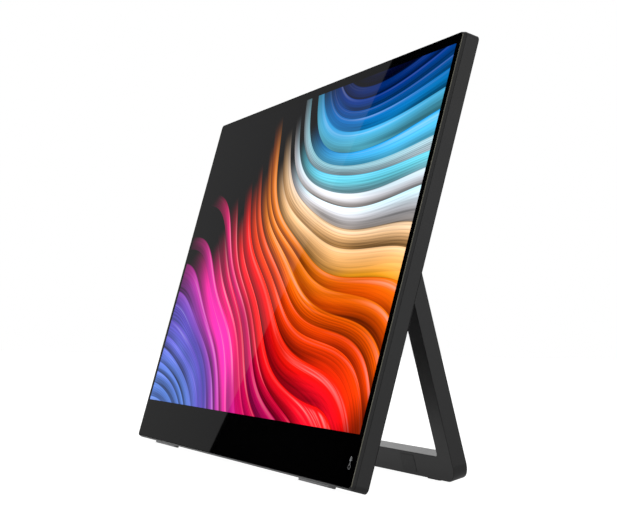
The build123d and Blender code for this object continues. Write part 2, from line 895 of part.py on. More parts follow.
# Flat cables between the module and the boards
driver_face = driver_back + flex_thickness / 2
board_under = board_front - flex_thickness / 2
cover_face = housing_depth + flex_thickness / 2
slot_entry = cable_slot_low + cable_slot_gap / 2
slot_exit = cable_slot_low + cable_slot_height - cable_slot_gap / 2
flat_cable(
    "display_cable",
    across(display_cable_centre),
    display_cable_width,
    flex_bend,
    (
        (driver_face, driver_board_foot + driver_board_height / 2),
        (driver_face, slot_entry),
        (board_under, slot_exit),
        (board_under, slot_exit + cable_landing),
    ),
)
tail_turn = -driver_ledge - sensor_foot - sensor_tail + flex_thickness
flat_cable(
    "touch_cable",
    across(touch_cable_centre),
    touch_cable_width,
    flex_bend,
    (
        (seat_depth + flex_thickness / 2, -driver_ledge - flex_bend),
        (seat_depth + flex_thickness / 2, tail_turn),
        (driver_face, tail_turn),
        (driver_face, slot_entry),
        (board_under, slot_exit),
        (board_under, slot_exit + cable_landing),
    ),
)
ribbon_start = main_right - cable_landing
flat_cable(
    "button_cable",
    above(shield_middle),
    ribbon_width,
    flex_bend,
    (
        (ribbon_start, board_under),
        (main_right, board_under),
        (main_right + cable_landing, cover_face),
        (button_board_inner - flex_thickness / 2, cover_face),
        (button_board_inner - flex_thickness / 2, button_depth),
    ),
)
flat_cable(
    "bridge_cable",
    above(touch_top - board_screw_inset),
    ribbon_width,
    flex_bend,
    (
        (ribbon_start, board_under),
        (main_right, board_under),
        (main_right + cable_landing, cover_face),
        (touch_board_left - cable_landing, cover_face),
        (touch_board_left, board_under),
        (touch_board_left + cable_landing, board_under),
    ),
)

# Two USB-C sockets, each a flat tube closed at the back with a tongue inside
socket_front = -cover_half + socket_recess
for name, place in zip(("lower", "upper"), usb_places):
    with BuildPart() as usb_socket:
        with BuildSketch(across(socket_front)):
            with Locations((socket_depth, place)):
                SlotOverall(usb_width, usb_height, rotation=90)
        extrude(amount=usb_length)
        with BuildSketch(across(socket_front)):
            with Locations((socket_depth, place)):
                SlotOverall(usb_width - 2 * shell_wall, usb_height - 2 * shell_wall, rotation=90)
        extrude(amount=usb_length - shell_wall, mode=Mode.SUBTRACT)
        with BuildSketch(across(socket_front + usb_length - shell_wall)):
            with Locations((socket_depth, place)):
                Rectangle(usb_tongue_height, usb_tongue_width)
        extrude(amount=-(usb_length - shell_wall - usb_tongue_gap))
    save(usb_socket, f"usb_c_socket_{name}")

# Mini HDMI socket
with BuildPart() as hdmi_socket:
    with BuildSketch(across(socket_front)):
        with Locations((hdmi_depth, hdmi_place)):
            RectangleRounded(hdmi_height, hdmi_width, hdmi_corner)
    extrude(amount=hdmi_length)
    with BuildSketch(across(socket_front)):
        with Locations((hdmi_depth, hdmi_place)):
            RectangleRounded(
                hdmi_height - 2 * shell_wall,
                hdmi_width - 2 * shell_wall,
                hdmi_corner - shell_wall,
            )
    extrude(amount=hdmi_length - shell_wall, mode=Mode.SUBTRACT)
    with BuildSketch(across(socket_front + hdmi_length - shell_wall)):
        with Locations((hdmi_depth, hdmi_place)):
            Rectangle(usb_tongue_height, hdmi_tongue_width)
    extrude(amount=-(hdmi_length - shell_wall - usb_tongue_gap))
save(hdmi_socket, "mini_hdmi_socket")

# Headphone socket: block with a round nose through the wall, a bore, and ears on the board
jack_front = -cover_half + jack_recess
jack_shoulder = -cover_inner_side + collar_wall_gap
with BuildPart() as headphone_socket:
    with BuildSketch(across(jack_front)):
        with Locations((socket_depth, jack_place)):
            Circle(jack_nose)
    extrude(amount=jack_shoulder - jack_front)
    with BuildSketch(across(jack_shoulder)):
        with Locations((socket_depth, jack_place)):
            Rectangle(jack_height, jack_width)
    extrude(amount=jack_back - jack_shoulder)
    with BuildSketch(behind(board_back + jack_ear_thickness)):
        with Locations((jack_back - jack_ear_length / 2, jack_place)):
            Rectangle(jack_ear_length, jack_width + 2 * jack_ear)
    extrude(amount=jack_ear_thickness)
    with BuildSketch(across(jack_front)):
        with Locations((socket_depth, jack_place)):
            Circle(jack_bore)
    extrude(amount=jack_bore_length, mode=Mode.SUBTRACT)
save(headphone_socket, "headphone_socket")

# Power button: cap, flange behind the wall, and stem
cap_face = cover_half + button_proud
flange_outer = cover_inner_side - power_flange_gap
with BuildPart() as power_button:
    with BuildSketch(across(cap_face)):
        with Locations((button_depth, power_place)):
            SlotOverall(power_length, button_width, rotation=90)
    extrude(amount=-(cap_face - flange_outer))
    with BuildSketch(across(flange_outer)):
        with Locations((button_depth, power_place)):
            SlotOverall(power_length + 2 * power_flange, button_width + 2 * power_flange, rotation=90)
    extrude(amount=-power_flange_thickness)
    with BuildSketch(across(press_face)):
        with Locations((button_depth, power_place)):
            Circle(power_stem_radius)
    extrude(amount=flange_outer - power_flange_thickness - press_face)
save(power_button, "power_button")

# Menu rocker on its pin, with a nub over each of its two switches
rocker_back = rocker_axis - rocker_inner
with BuildPart() as menu_rocker:
    with BuildSketch(across(cap_face)):
        with Locations((button_depth, rocker_place)):
            SlotOverall(rocker_length, button_width, rotation=90)
    extrude(amount=-(cap_face - rocker_back))
    with BuildSketch(across(nub_face)):
        for offset in (-rocker_nub_offset, rocker_nub_offset):
            with Locations((button_depth, rocker_place + offset)):
                Circle(rocker_nub_radius)
    extrude(amount=rocker_back - nub_face)
    with BuildSketch(behind(button_depth + button_width)):
        with Locations((rocker_axis, rocker_place)):
            Circle(rocker_pin_radius + rocker_pin_gap)
    extrude(amount=2 * button_width, mode=Mode.SUBTRACT)
save(menu_rocker, "menu_rocker")

rocker_pin_front = lug_edge - lug_thickness
with BuildPart() as rocker_pin:
    with BuildSketch(behind(rocker_pin_front)):
        with Locations((rocker_axis, rocker_place)):
            Circle(rocker_pin_radius)
    extrude(amount=-(cover_inner - rocker_pin_front - rocker_pin_play))
save(rocker_pin, "rocker_pin")

# Light guide of the power light
with BuildPart() as power_light:
    with BuildSketch(across(button_board_face)):
        with Locations((button_depth, light_place)):
            Circle(light_radius)
    extrude(amount=cover_half - button_board_face)
save(power_light, "power_light")

# Speakers on the rear cover, each with a dished cone and a dome
for side, sign in SIDES:
    with BuildPart() as speaker:
        with BuildSketch(behind(housing_depth + speaker_depth)):
            with Locations((sign * speaker_from_centre, speaker_middle)):
                Rectangle(speaker_width, speaker_height)
        extrude(amount=speaker_depth)
        with BuildSketch(behind(housing_depth + speaker_depth)):
            with Locations((sign * speaker_from_centre, speaker_middle)):
                Circle(speaker_cone_radius)
        extrude(amount=speaker_cone_depth, mode=Mode.SUBTRACT)
        with BuildSketch(behind(housing_depth + speaker_depth)):
            with Locations((sign * speaker_from_centre, speaker_middle)):
                Circle(speaker_dome_radius)
        extrude(amount=speaker_cone_depth)
    save(speaker, f"speaker_{side}")

# Friction hinges: bracket, pin, washers and nut at each side
for side, sign in SIDES:
    with BuildPart() as hinge_bracket:
        with BuildSketch(behind(housing_depth + bracket_base)):
            edges = sorted((sign * (bracket_outer - bracket_width), sign * bracket_outer))
            patch(edges[0], edges[1], bracket_low, bracket_high)
            with Locations(*[spot for spot in hinge_screw_spots if spot[0] * sign > 0]):
                Circle(hole_radius, mode=Mode.SUBTRACT)
        extrude(amount=bracket_base)
        with BuildSketch(across(sign * bracket_outer)):
            with Locations((pivot_depth, pivot_height)):
                Circle(collar_radius)
            with Locations(((housing_depth + pivot_depth) / 2, pivot_height)):
                Rectangle(pivot_depth - housing_depth, 2 * collar_radius)
            with Locations((housing_depth + bracket_gusset / 2, pivot_height)):
                Rectangle(bracket_gusset, bracket_height)
        extrude(amount=-sign * bracket_thickness)
        with BuildSketch(across(sign * bracket_outer)):
            with Locations((pivot_depth, pivot_height)):
                Circle(journal_radius + journal_gap)
        extrude(amount=-sign * bracket_thickness, mode=Mode.SUBTRACT)
    save(hinge_bracket, f"hinge_bracket_{side}")

    stations = (
        (journal_end, collar_inner, journal_radius),
        (collar_inner, collar_outer, collar_radius),
        (collar_outer, leg_inner, neck_radius),
        (leg_inner, leg_inner + root_length, root_radius),
    )
    with BuildPart() as hinge_pin:
        for inner, outer, radius in stations:
            with BuildSketch(across(sign * inner)):
                with Locations((pivot_depth, pivot_height)):
                    Circle(radius)
            extrude(amount=sign * (outer - inner))
    save(hinge_pin, f"hinge_pin_{side}")

    with BuildPart() as friction_washers:
        rings = [(collar_inner, washer_thickness)]
        for turn in range(inner_washer_count):
            rings.append((washers_outer - turn * inner_washer_thickness, inner_washer_thickness))
        for outer, thickness in rings:
            with BuildSketch(across(sign * outer)):
                with Locations((pivot_depth, pivot_height)):
                    Circle(collar_radius)
                    Circle(journal_radius + journal_gap, mode=Mode.SUBTRACT)
            extrude(amount=-sign * thickness)
        with BuildSketch(across(sign * washers_inner)):
            with Locations((pivot_depth, pivot_height)):
                Circle(collar_radius)
            with Locations(
                (
                    pivot_depth + stop_tab_reach / 2 * math.cos(tab_lean),
                    pivot_height + stop_tab_reach / 2 * math.sin(tab_lean),
                )
            ):
                Rectangle(stop_tab_reach, stop_tab_width, rotation=math.degrees(tab_lean))
            with Locations((pivot_depth, pivot_height)):
                Circle(journal_radius + journal_gap, mode=Mode.SUBTRACT)
        extrude(amount=-sign * stop_washer_thickness)
    save(friction_washers, f"friction_washers_{side}")

    with BuildPart() as hinge_nut:
        with BuildSketch(across(sign * nut_outer)):
            with Locations((pivot_depth, pivot_height)):
                RegularPolygon(nut_across_flats / 2, 6, major_radius=False)
                Circle(journal_radius + journal_gap, mode=Mode.SUBTRACT)
        extrude(amount=-sign * nut_thickness)
    save(hinge_nut, f"hinge_nut_{side}")

# Screws
hinge_seat = housing_depth + bracket_base
cover_seat = cover_back - recess_depth
boss_bottom = inner_back - boss_height + boss_floor + screw_end_gap
screws("hinge_screws", hinge_seat, hinge_seat - boss_bottom, hinge_screw_spots)
screws("cover_screws", cover_seat, cover_seat - boss_bottom, cover_screw_spots)
screws("board_screws", board_back, board_thickness + board_hole_depth - screw_end_gap, board_screw_spots)
frame_seat = housing_depth - back_wall + boss_floor
frame_screw_reach = boss_floor + frame_post_hole - screw_end_gap
screws("frame_screws", frame_seat, frame_screw_reach, frame_screw_spots)

# Stand: two legs and a bar in one frame, its leg tops round about the hinge axis
leg_middle = (stand_width - leg_width) / 2
bar_foot = -leg_length
bar_top = bar_foot + bar_height
stand_foot_middle = stand_foot_inset + (stand_foot_width - stand_thickness) / 2
stand_pad_middle = bar_foot + stand_pad_foot + stand_pad_height / 2
with BuildPart() as stand_frame:
    with BuildSketch(stand_face.offset(-stand_thickness / 2)):
        patch(-stand_width / 2, stand_width / 2, bar_foot, 0)
        fillet(vertices().group_by(Axis.Y)[0], stand_corner)
        patch(-leg_inner, leg_inner, bar_top, 0, Mode.SUBTRACT)
        corners = [v for v in vertices() if abs(v.X) < leg_middle and v.Y < bar_foot / 2]
        fillet([v for v in corners if v.Y > bar_foot + bar_height / 2], stand_inner_corner)
    extrude(amount=stand_thickness)
    for side, sign in SIDES:
        with BuildSketch(stand_section.offset(sign * leg_inner)):
            Circle(stand_thickness / 2)
        extrude(amount=sign * leg_width)
    faces_of_plate = stand_frame.faces().filter_by(stand_face)
    fillet(faces_of_plate.edges().filter_by(lambda edge: edge.length > 2 * stand_edge), stand_edge)
    for side, sign in SIDES:
        with BuildSketch(stand_section.offset(sign * leg_inner)):
            Circle(root_radius)
        extrude(amount=sign * root_length, mode=Mode.SUBTRACT)
    with BuildSketch(stand_level.offset(bar_foot)):
        with Locations(
            (-stand_foot_spacing / 2, stand_foot_middle),
            (stand_foot_spacing / 2, stand_foot_middle),
        ):
            SlotOverall(stand_foot_length + 2 * rubber_gap, stand_foot_width + 2 * rubber_gap)
    extrude(amount=stand_foot_pocket, mode=Mode.SUBTRACT)
    with BuildSketch(stand_face.offset(stand_thickness / 2)):
        with Locations(
            (-stand_pad_spacing / 2, stand_pad_middle),
            (stand_pad_spacing / 2, stand_pad_middle),
        ):
            RectangleRounded(
                stand_pad_width + 2 * rubber_gap,
                stand_pad_height + 2 * rubber_gap,
                stand_pad_corner + rubber_gap,
            )
    extrude(amount=-stand_pad_pocket, mode=Mode.SUBTRACT)
save(stand_frame, "stand_frame")

# Rubber feet under the bar, cut where they lie on the floor, and the pads let into its front face
for side, sign in SIDES:
    with BuildPart() as stand_foot:
        with BuildSketch(stand_level.offset(bar_foot + stand_foot_pocket)):
            with Locations((sign * stand_foot_spacing / 2, stand_foot_middle)):
                SlotOverall(stand_foot_length, stand_foot_width)
        extrude(amount=-stand_foot_pocket - stand_foot_proud)
        split(bisect_by=Plane.XY, keep=Keep.TOP)
    save(stand_foot, f"stand_foot_{side}")

    with BuildPart() as stand_pad:
        with BuildSketch(stand_face.offset(stand_thickness / 2 + stand_pad_proud)):
            with Locations((sign * stand_pad_spacing / 2, stand_pad_middle)):
                RectangleRounded(stand_pad_width, stand_pad_height, stand_pad_corner)
        extrude(amount=-stand_pad_proud - stand_pad_pocket)
    save(stand_pad, f"stand_pad_{side}")
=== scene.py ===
import json
import math

import bmesh
import bpy
from bpy.props import FloatProperty, FloatVectorProperty, PointerProperty
from mathutils import Matrix, Vector

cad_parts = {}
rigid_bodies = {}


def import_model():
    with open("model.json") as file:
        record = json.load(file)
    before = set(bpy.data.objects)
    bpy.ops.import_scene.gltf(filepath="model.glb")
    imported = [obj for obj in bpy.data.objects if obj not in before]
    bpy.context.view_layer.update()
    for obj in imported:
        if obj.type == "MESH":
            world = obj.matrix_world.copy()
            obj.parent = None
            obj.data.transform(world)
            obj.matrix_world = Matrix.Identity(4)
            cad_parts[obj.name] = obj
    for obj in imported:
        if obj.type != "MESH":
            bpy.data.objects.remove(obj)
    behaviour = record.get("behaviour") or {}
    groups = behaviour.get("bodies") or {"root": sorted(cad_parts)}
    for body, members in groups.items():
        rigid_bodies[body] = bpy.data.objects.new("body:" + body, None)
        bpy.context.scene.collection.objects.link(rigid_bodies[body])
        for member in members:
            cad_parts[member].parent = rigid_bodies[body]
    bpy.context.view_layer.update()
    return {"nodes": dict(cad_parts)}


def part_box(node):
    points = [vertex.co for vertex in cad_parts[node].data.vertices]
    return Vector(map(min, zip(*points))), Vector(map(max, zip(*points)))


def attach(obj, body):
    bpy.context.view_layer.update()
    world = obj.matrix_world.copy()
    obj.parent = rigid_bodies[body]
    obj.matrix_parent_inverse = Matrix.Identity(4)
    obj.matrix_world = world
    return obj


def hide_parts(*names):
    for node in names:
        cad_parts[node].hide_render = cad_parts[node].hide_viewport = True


bl_info = {
    "name": "Portable Monitor Dressing",
    "version": (1, 0, 0),
    "blender": (4, 5, 0),
    "location": "View3D > Sidebar > Monitor",
    "description": "Finishes, small details and a studio for a portable monitor",
    "category": "Object",
}

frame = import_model()
nodes = frame["nodes"]

MILLIMETRE = 0.001
MICROMETRE = 0.000001
BODY = "display"
RIGHT = Vector((1, 0, 0))
UPRIGHT = Vector((0, 0, 1))
SIDES = ("left", "right")
BLACK = (0, 0, 0, 1)
WHITE = (1, 1, 1, 1)


def display_axes():
    """Matrix from the display's own axes to the frame, and the picture's half width and height.

    The axes run across, up the face and into it, from the middle of the picture's lower edge on
    the front of the cover glass. The two sizes are in millimetres.
    """
    glass = nodes["cover_glass"].data
    face = max((p for p in glass.polygons if p.normal.y < 0), key=lambda p: p.area)
    into = -face.normal
    up = RIGHT.cross(into)
    turn = Matrix((RIGHT, up, into)).transposed()
    border = [v.co for v in nodes["border_print"].data.vertices]
    edge = min(abs(co.x) for co in border)
    heights = [up.dot(co) for co in border if abs(co.x) < edge + MILLIMETRE]
    origin = up * min(heights) + into * into.dot(face.center)
    tall = max(heights) - min(heights)
    return Matrix.Translation(origin) @ turn.to_4x4(), edge / MILLIMETRE, tall / MILLIMETRE


display, picture_half, picture_height = display_axes()
to_display = display.inverted()
up_display = display.to_3x3() @ Vector((0, 1, 0))
into_display = display.to_3x3() @ Vector((0, 0, 1))


def display_box(name, unit=1.0):
    """Lowest and highest corner of a CAD node along the display's own axes."""
    corners = [to_display @ v.co for v in nodes[name].data.vertices]
    return [Vector([pick(c[i] for c in corners) for i in range(3)]) / unit for pick in (min, max)]


def linear(red, green, blue):
    """Colour for a socket from its screen values, which run to 255."""
    parts = []
    for value in (red, green, blue):
        share = value / 255
        parts.append(share / 12.92 if share < 0.04045 else ((share + 0.055) / 1.055) ** 2.4)
    return (*parts, 1)


def tint(colour, factor, lift=0.0):
    """The same colour lighter or darker."""
    return tuple(min(1, channel * factor + lift) for channel in colour[:3]) + (1,)


def number_field(name, description, default, **limits):
    return FloatProperty(name=name, description=description, default=default, **limits)


def length_field(name, description, default):
    limits = {"subtype": "DISTANCE", "unit": "LENGTH", "min": 0, "precision": 5}
    return number_field(name, description, default, **limits)


def angle_field(name, description, degrees):
    return number_field(name, description, math.radians(degrees), subtype="ANGLE")


def share_field(name, description, default):
    return number_field(name, description, default, min=0, max=1)


def colour_field(name, description, default):
    limits = {"subtype": "COLOR", "size": 4, "min": 0, "max": 1}
    return FloatVectorProperty(name=name, description=description, default=default, **limits)


class MONITOR_PG_finishes(bpy.types.PropertyGroup):
    """Colours and grain of the surfaces."""

    housing: colour_field("Housing", "Plastic of the frame and covers", (0.0075, 0.0075, 0.0078, 1))
    stand: colour_field("Stand", "Paint of the folding stand", (0.0072, 0.0072, 0.0074, 1))
    rubber: colour_field("Rubber", "Feet of the stand", (0.006, 0.006, 0.006, 1))
    # Grey of the display's feet, partly their own rubber and partly painted light from the bright
    # floor.
    grey_rubber_and_painted_light: colour_field("Grey rubber", "Feet of the display", (0.3, 0.3, 0.305, 1))
    border: colour_field("Border", "Print round the picture", (0.0005, 0.0005, 0.0006, 1))
    # Pale colour of the glass's ground edges and of the frame's lip beside them: a painted
    # highlight, where the chamfers catch light.
    glass_edge_highlight: colour_field("Glass edge", "Ground edge of the glass", (0.15, 0.145, 0.105, 1))
    pad_wear: length_field("Pad wear", "How far the pads of the stand are worn down", 0.0002)
    signs: colour_field("Signs", "Printed signs", (0.22, 0.226, 0.232, 1))
    board: colour_field("Board", "Solder mask of the boards", (0.004, 0.045, 0.02, 1))
    steel: colour_field("Steel", "Hinges, shells and shields", (0.52, 0.52, 0.53, 1))
    amber: colour_field("Amber", "Film of the flat cables", (0.3, 0.12, 0.025, 1))
    gold: colour_field("Gold", "Contacts and pads", (0.75, 0.5, 0.16, 1))
    housing_roughness: share_field("Housing roughness", "Gloss of the plastic", 0.42)
    stand_roughness: share_field("Stand roughness", "Gloss of the paint", 0.38)
    grain: length_field("Grain", "Depth of the moulded grain", 0.00003)
    # Width of the painted shade: the dark lines laid along sharp edges.
    edge_line: length_field("Edge line", "Width of the dull line along sharp edges", 0.0005)
    # Widths of the painted highlights on the glass's edges and on the frame's lip, and the lip's
    # depth.
    edge_ground: length_field("Ground edge", "Width of the ground edge of the glass", 0.00012)
    lip: length_field("Lip", "Width of the bright lip of the frame beside the glass", 0.00038)
    lip_depth: length_field("Lip depth", "Depth of that lip", 0.0004)


class MONITOR_PG_picture(bpy.types.PropertyGroup):
    """Colours and folds of the picture that the display shows."""

    brightness: number_field("Brightness", "Light of the picture", 1, min=0)
    inset: length_field("Inset", "Dark line between the border and the lit picture", 0.00035)
    fold: length_field("Fold", "Width of one fold of the bands", 0.0105)
    sway: length_field("Sway", "How far the bands swing to each side", 0.017)
    lean: angle_field("Lean", "Angle of the bands", 58)
    pinch: number_field("Pinch", "How much the bands draw together", 0.3, min=0)
    night: colour_field("Night", "Unlit part of the picture", (0.0006, 0.0006, 0.001, 1))


class MONITOR_PG_details(bpy.types.PropertyGroup):
    """Sizes of the small details."""

    mesh_pitch: length_field("Mesh pitch", "Spacing of the dust mesh", 0.0009)
    mesh_wire: length_field("Mesh wire", "Thickness of the dust mesh's threads", 0.00022)
    vent_drop: length_field("Vent drop", "Middle of the vents below the cover's top", 0.022)
    vent_width: length_field("Vent width", "Width of the mesh behind the vents", 0.119)
    vent_height: length_field("Vent height", "Height of the mesh behind the vents", 0.014)
    grille_width: length_field("Grille width", "Width of the mesh behind a grille", 0.034)
    grille_height: length_field("Grille height", "Height of the mesh behind a grille", 0.0085)
    cover_wall: length_field("Cover wall", "Thickness of the electronics cover", 0.0014)
    contact_width: length_field("Contact width", "Width of a socket's contact", 0.00026)
    contact_length: length_field("Contact length", "Length of a socket's contact", 0.0034)
    contact_depth: length_field("Contact depth", "Thickness of a socket's contact", 0.00005)
    tongue: length_field("Tongue", "Thickness of a socket's tongue", 0.0007)
    contact_inset: length_field("Contact inset", "Contacts behind the socket's mouth", 0.0013)
    ink: length_field("Ink", "Thickness of a printed sign", 0.00002)
    stroke: length_field("Stroke", "Width of a sign's lines", 0.00035)
    touch_sign_side: length_field("Touch sign side", "Touch sign from the glass's side", 0.0071)
    touch_sign_drop: length_field("Touch sign drop", "Touch sign below the picture", 0.013)
    key_sign_inset: length_field("Key sign inset", "Key signs from the cover's side", 0.0062)


class MONITOR_PG_studio(bpy.types.PropertyGroup):
    """Camera, light and floor."""

    camera: FloatVectorProperty(
        name="Camera",
        description="Place of the camera",
        subtype="XYZ",
        default=(0.76681, -0.30699, 0.07347),
    )
    azimuth: angle_field("Azimuth", "Turn of the camera", 66.640)
    pitch: angle_field("Pitch", "Upward look of the camera", 3.826)
    roll: angle_field("Roll", "Roll of the camera", 0.788)
    lens: number_field("Lens", "Focal length in millimetres", 82.49, min=1)
    shift_across: number_field("Shift across", "Sideways lens shift", -0.0348)
    shift_up: number_field("Shift up", "Upward lens shift", -0.0409)
    sky: number_field("Sky", "Strength of the studio's white walls", 1.25, min=0)
    front: number_field("Front", "Share of the walls' light from the front", 0.06)
    between: number_field("Between", "Share of light between the side walls", 0.4)
    left: number_field("Left", "Extra light of the wall on the left", 0.3)
    table: number_field("Table", "Light of the floor where it is seen", 0.97)
    under: number_field("Under", "Light of the floor under the object", 0.3)
    apron: number_field("Apron", "Light of the floor before the object", 3.0)
    behind: number_field("Behind", "Light of the floor behind the object", 1.1)
    floor: colour_field("Floor", "Colour of the floor", (0.36, 0.36, 0.362, 1))
    floor_radius: length_field("Floor radius", "Reach of the floor", 4.0)
    sheen: number_field("Sheen", "Strength of the panel that the glass shows", 0.125)


class Term:
    """Output of a node, so that sums in a node tree read as sums."""

    def __init__(self, tree, socket):
        self.tree = tree
        self.socket = socket

    def __add__(self, other):
        return self.tree.maths("ADD", self, other)

    def __radd__(self, other):
        return self.tree.maths("ADD", other, self)

    def __sub__(self, other):
        return self.tree.maths("SUBTRACT", self, other)

    def __rsub__(self, other):
        return self.tree.maths("SUBTRACT", other, self)

    def __mul__(self, other):
        return self.tree.maths("MULTIPLY", self, other)

    def __rmul__(self, other):
        return self.tree.maths("MULTIPLY", other, self)

    def __truediv__(self, other):
        return self.tree.maths("DIVIDE", self, other)

    def __rtruediv__(self, other):
        return self.tree.maths("DIVIDE", other, self)

    def __lt__(self, other):
        return self.tree.maths("LESS_THAN", self, other)

    def __gt__(self, other):
        return self.tree.maths("GREATER_THAN", self, other)


class Tree:
    """A node tree written as expressions."""

    def __init__(self, tree):
        self.tree = tree

    def node(self, kind, settings=None, sockets=None, output=0):
        """Add a node, set it, fill its sockets by value or link, and give one of its outputs."""
        made = self.tree.nodes.new(kind)
        for name, value in (settings or {}).items():
            if name == "stops":
                self.set_stops(made.color_ramp, value)
            else:
                setattr(made, name, value)
        for name, value in (sockets or {}).items():
            if isinstance(value, Term):
                self.tree.links.new(value.socket, made.inputs[name])
            else:
                made.inputs[name].default_value = value
        return Term(self, made.outputs[output]) if len(made.outputs) else None

    def set_stops(self, ramp, stops):
        ramp.elements.remove(ramp.elements[1])
        ramp.elements[0].position, ramp.elements[0].color = stops[0]
        for position, colour in stops[1:]:
            ramp.elements.new(position).color = colour

    def maths(self, operation, *values):
        return self.node("ShaderNodeMath", {"operation": operation}, dict(enumerate(values)))

    def size_of(self, value):
        """The value without its sign."""
        return self.maths("ABSOLUTE", value)

    def larger(self, first, second):
        return self.maths("MAXIMUM", first, second)

    def vector(self, operation, first, second, output="Vector"):
        sockets = {0: first, 1: second}
        return self.node("ShaderNodeVectorMath", {"operation": operation}, sockets, output)

    def reach(self, place, axis):
        """How far a place or a direction lies along an axis."""
        return self.vector("DOT_PRODUCT", place, axis, "Value")

    def point(self, x, y, z):
        return self.node("ShaderNodeCombineXYZ", {}, {0: x, 1: y, 2: z})

    def camera_ray(self):
        """1 where the camera looks, and 0 for light that falls on something."""
        return self.node("ShaderNodeLightPath", output="Is Camera Ray")


class Finish(Tree):
    """A material under construction, whose patterns lie on the object in millimetres."""

    def __init__(self, name):
        self.material = bpy.data.materials.new(name)
        self.material.use_nodes = True
        super().__init__(self.material.node_tree)
        self.tree.nodes.clear()
        self.scaled = None

    @property
    def place(self):
        """Place on the object in millimetres, from nodes that are made once."""
        if not self.scaled:
            metres = self.node("ShaderNodeTexCoord", output="Object")
            sockets = {0: metres, 3: 1 / MILLIMETRE}
            self.scaled = self.node("ShaderNodeVectorMath", {"operation": "SCALE"}, sockets)
        return self.scaled

    def along(self, axis):
        """Millimetres from the display's origin along one of its axes."""
        return self.reach(self.place, axis) - axis.dot(display.translation) / MILLIMETRE

    def aside(self):
        """Millimetres from the display's middle to either side."""
        return self.size_of(self.along(RIGHT))

    def noise(self, scale, detail=2, roughness=0.5, at=None):
        place = at or self.place
        sockets = {"Vector": place, "Scale": scale, "Detail": detail, "Roughness": roughness}
        return self.node("ShaderNodeTexNoise", {}, sockets)

    def lines(self, stretch, scale, detail, roughness=0.5):
        """Noise that is squeezed along each axis by its own factor."""
        return self.noise(scale, detail, roughness, self.vector("MULTIPLY", self.place, stretch))

    def cells(self, scale, randomness=1):
        sockets = {"Vector": self.place, "Scale": scale, "Randomness": randomness}
        return self.node("ShaderNodeTexVoronoi", {}, sockets)

    def chance(self, number):
        """Random share of 1 that belongs to a whole number."""
        return self.node("ShaderNodeTexWhiteNoise", {"noise_dimensions": "1D"}, {"W": number})

    def sine(self, value):
        return self.maths("SINE", value)

    def fraction(self, value):
        """What is left of a value past its last whole number."""
        return self.maths("FRACT", value)

    def step(self, value, low, high):
        """Rise from 0 to 1 as the value goes from low to high."""
        sockets = {"Value": value, "From Min": low, "From Max": high}
        return self.node("ShaderNodeMapRange", {"interpolation_type": "SMOOTHSTEP"}, sockets)

    def mix(self, share, first, second):
        """One colour over another."""
        return self.node("ShaderNodeMix", {"data_type": "RGBA"}, {0: share, 6: first, 7: second}, 2)

    def grey(self, value):
        """The same value in each channel."""
        return self.point(value, value, value)

    def bump(self, height, depth):
        return self.node("ShaderNodeBump", {}, {"Height": height, "Distance": depth, "Strength": 1})

    def edges(self, radius):
        """Mask that is 1 on square edges and 0 on flat ground and shallow bevels."""
        soft = self.node("ShaderNodeBevel", {"samples": 4}, {"Radius": radius})
        flat = self.node("ShaderNodeNewGeometry", output="Normal")
        return self.step(1 - self.reach(soft, flat), 0.05, 0.16)

    def within(self, value, middle, half):
        """1 where a value is near its middle."""
        return self.size_of(value - middle) < half

    def surface(self, base, gloss, normal=None, metal=None, glow=None, strength=None, dull=None):
        """Finish the material with one shader, and where a mask asks, mix in a flat black one as
        painted shade.
        """
        wanted = {
            "Base Color": base,
            "Roughness": gloss,
            "Normal": normal,
            "Metallic": metal,
            "Emission Color": glow,
            "Emission Strength": strength,
        }
        sockets = {name: value for name, value in wanted.items() if value is not None}
        shader = self.node("ShaderNodeBsdfPrincipled", {}, sockets)
        if dull is not None:
            # Flat black without gloss, which stands in for shade: painted shade.
            painted_shade_sockets = {"Base Color": BLACK_INK_AND_SHADE, "Roughness": 0.9, "Specular IOR Level": 0.0}
            flat = self.node("ShaderNodeBsdfPrincipled", {}, painted_shade_sockets)
            shader = self.node("ShaderNodeMixShader", {}, {0: dull, 1: shader, 2: flat})
        self.node("ShaderNodeOutputMaterial", {}, {"Surface": shader})
        return self.material


# Black of the border ink, and of the painted shade laid along edges.
BLACK_INK_AND_SHADE = (0.004, 0.004, 0.004, 1)
DUST = (0.03, 0.03, 0.029, 1)
DARK_PLASTIC = (0.012, 0.012, 0.012, 1)
BLACK_MOULDING = (0.01, 0.01, 0.01, 1)
COPPER = (0.45, 0.2, 0.07, 1)
PAPER_CONE = (0.035, 0.034, 0.032, 1)
LAMP_WHITE = (0.75, 0.75, 0.72, 1)
LAMP_YELLOW = (0.8, 0.62, 0.12, 1)

# Sizes of patterns, in millimetres where they are lengths.
POCKET_MARGIN = Vector((1, 0, 0.6))
TRACKS_IN_ONE = 0.55
TRACK_SHARE = 0.34
CONE_RADIUS = 4.6
LAMP_PITCH = 6.2
TONGUE_FROM_SIDE = 1.0
TONGUE_FROM_MOUTH = 0.5
TONGUE_HALF_SHARE = 0.6


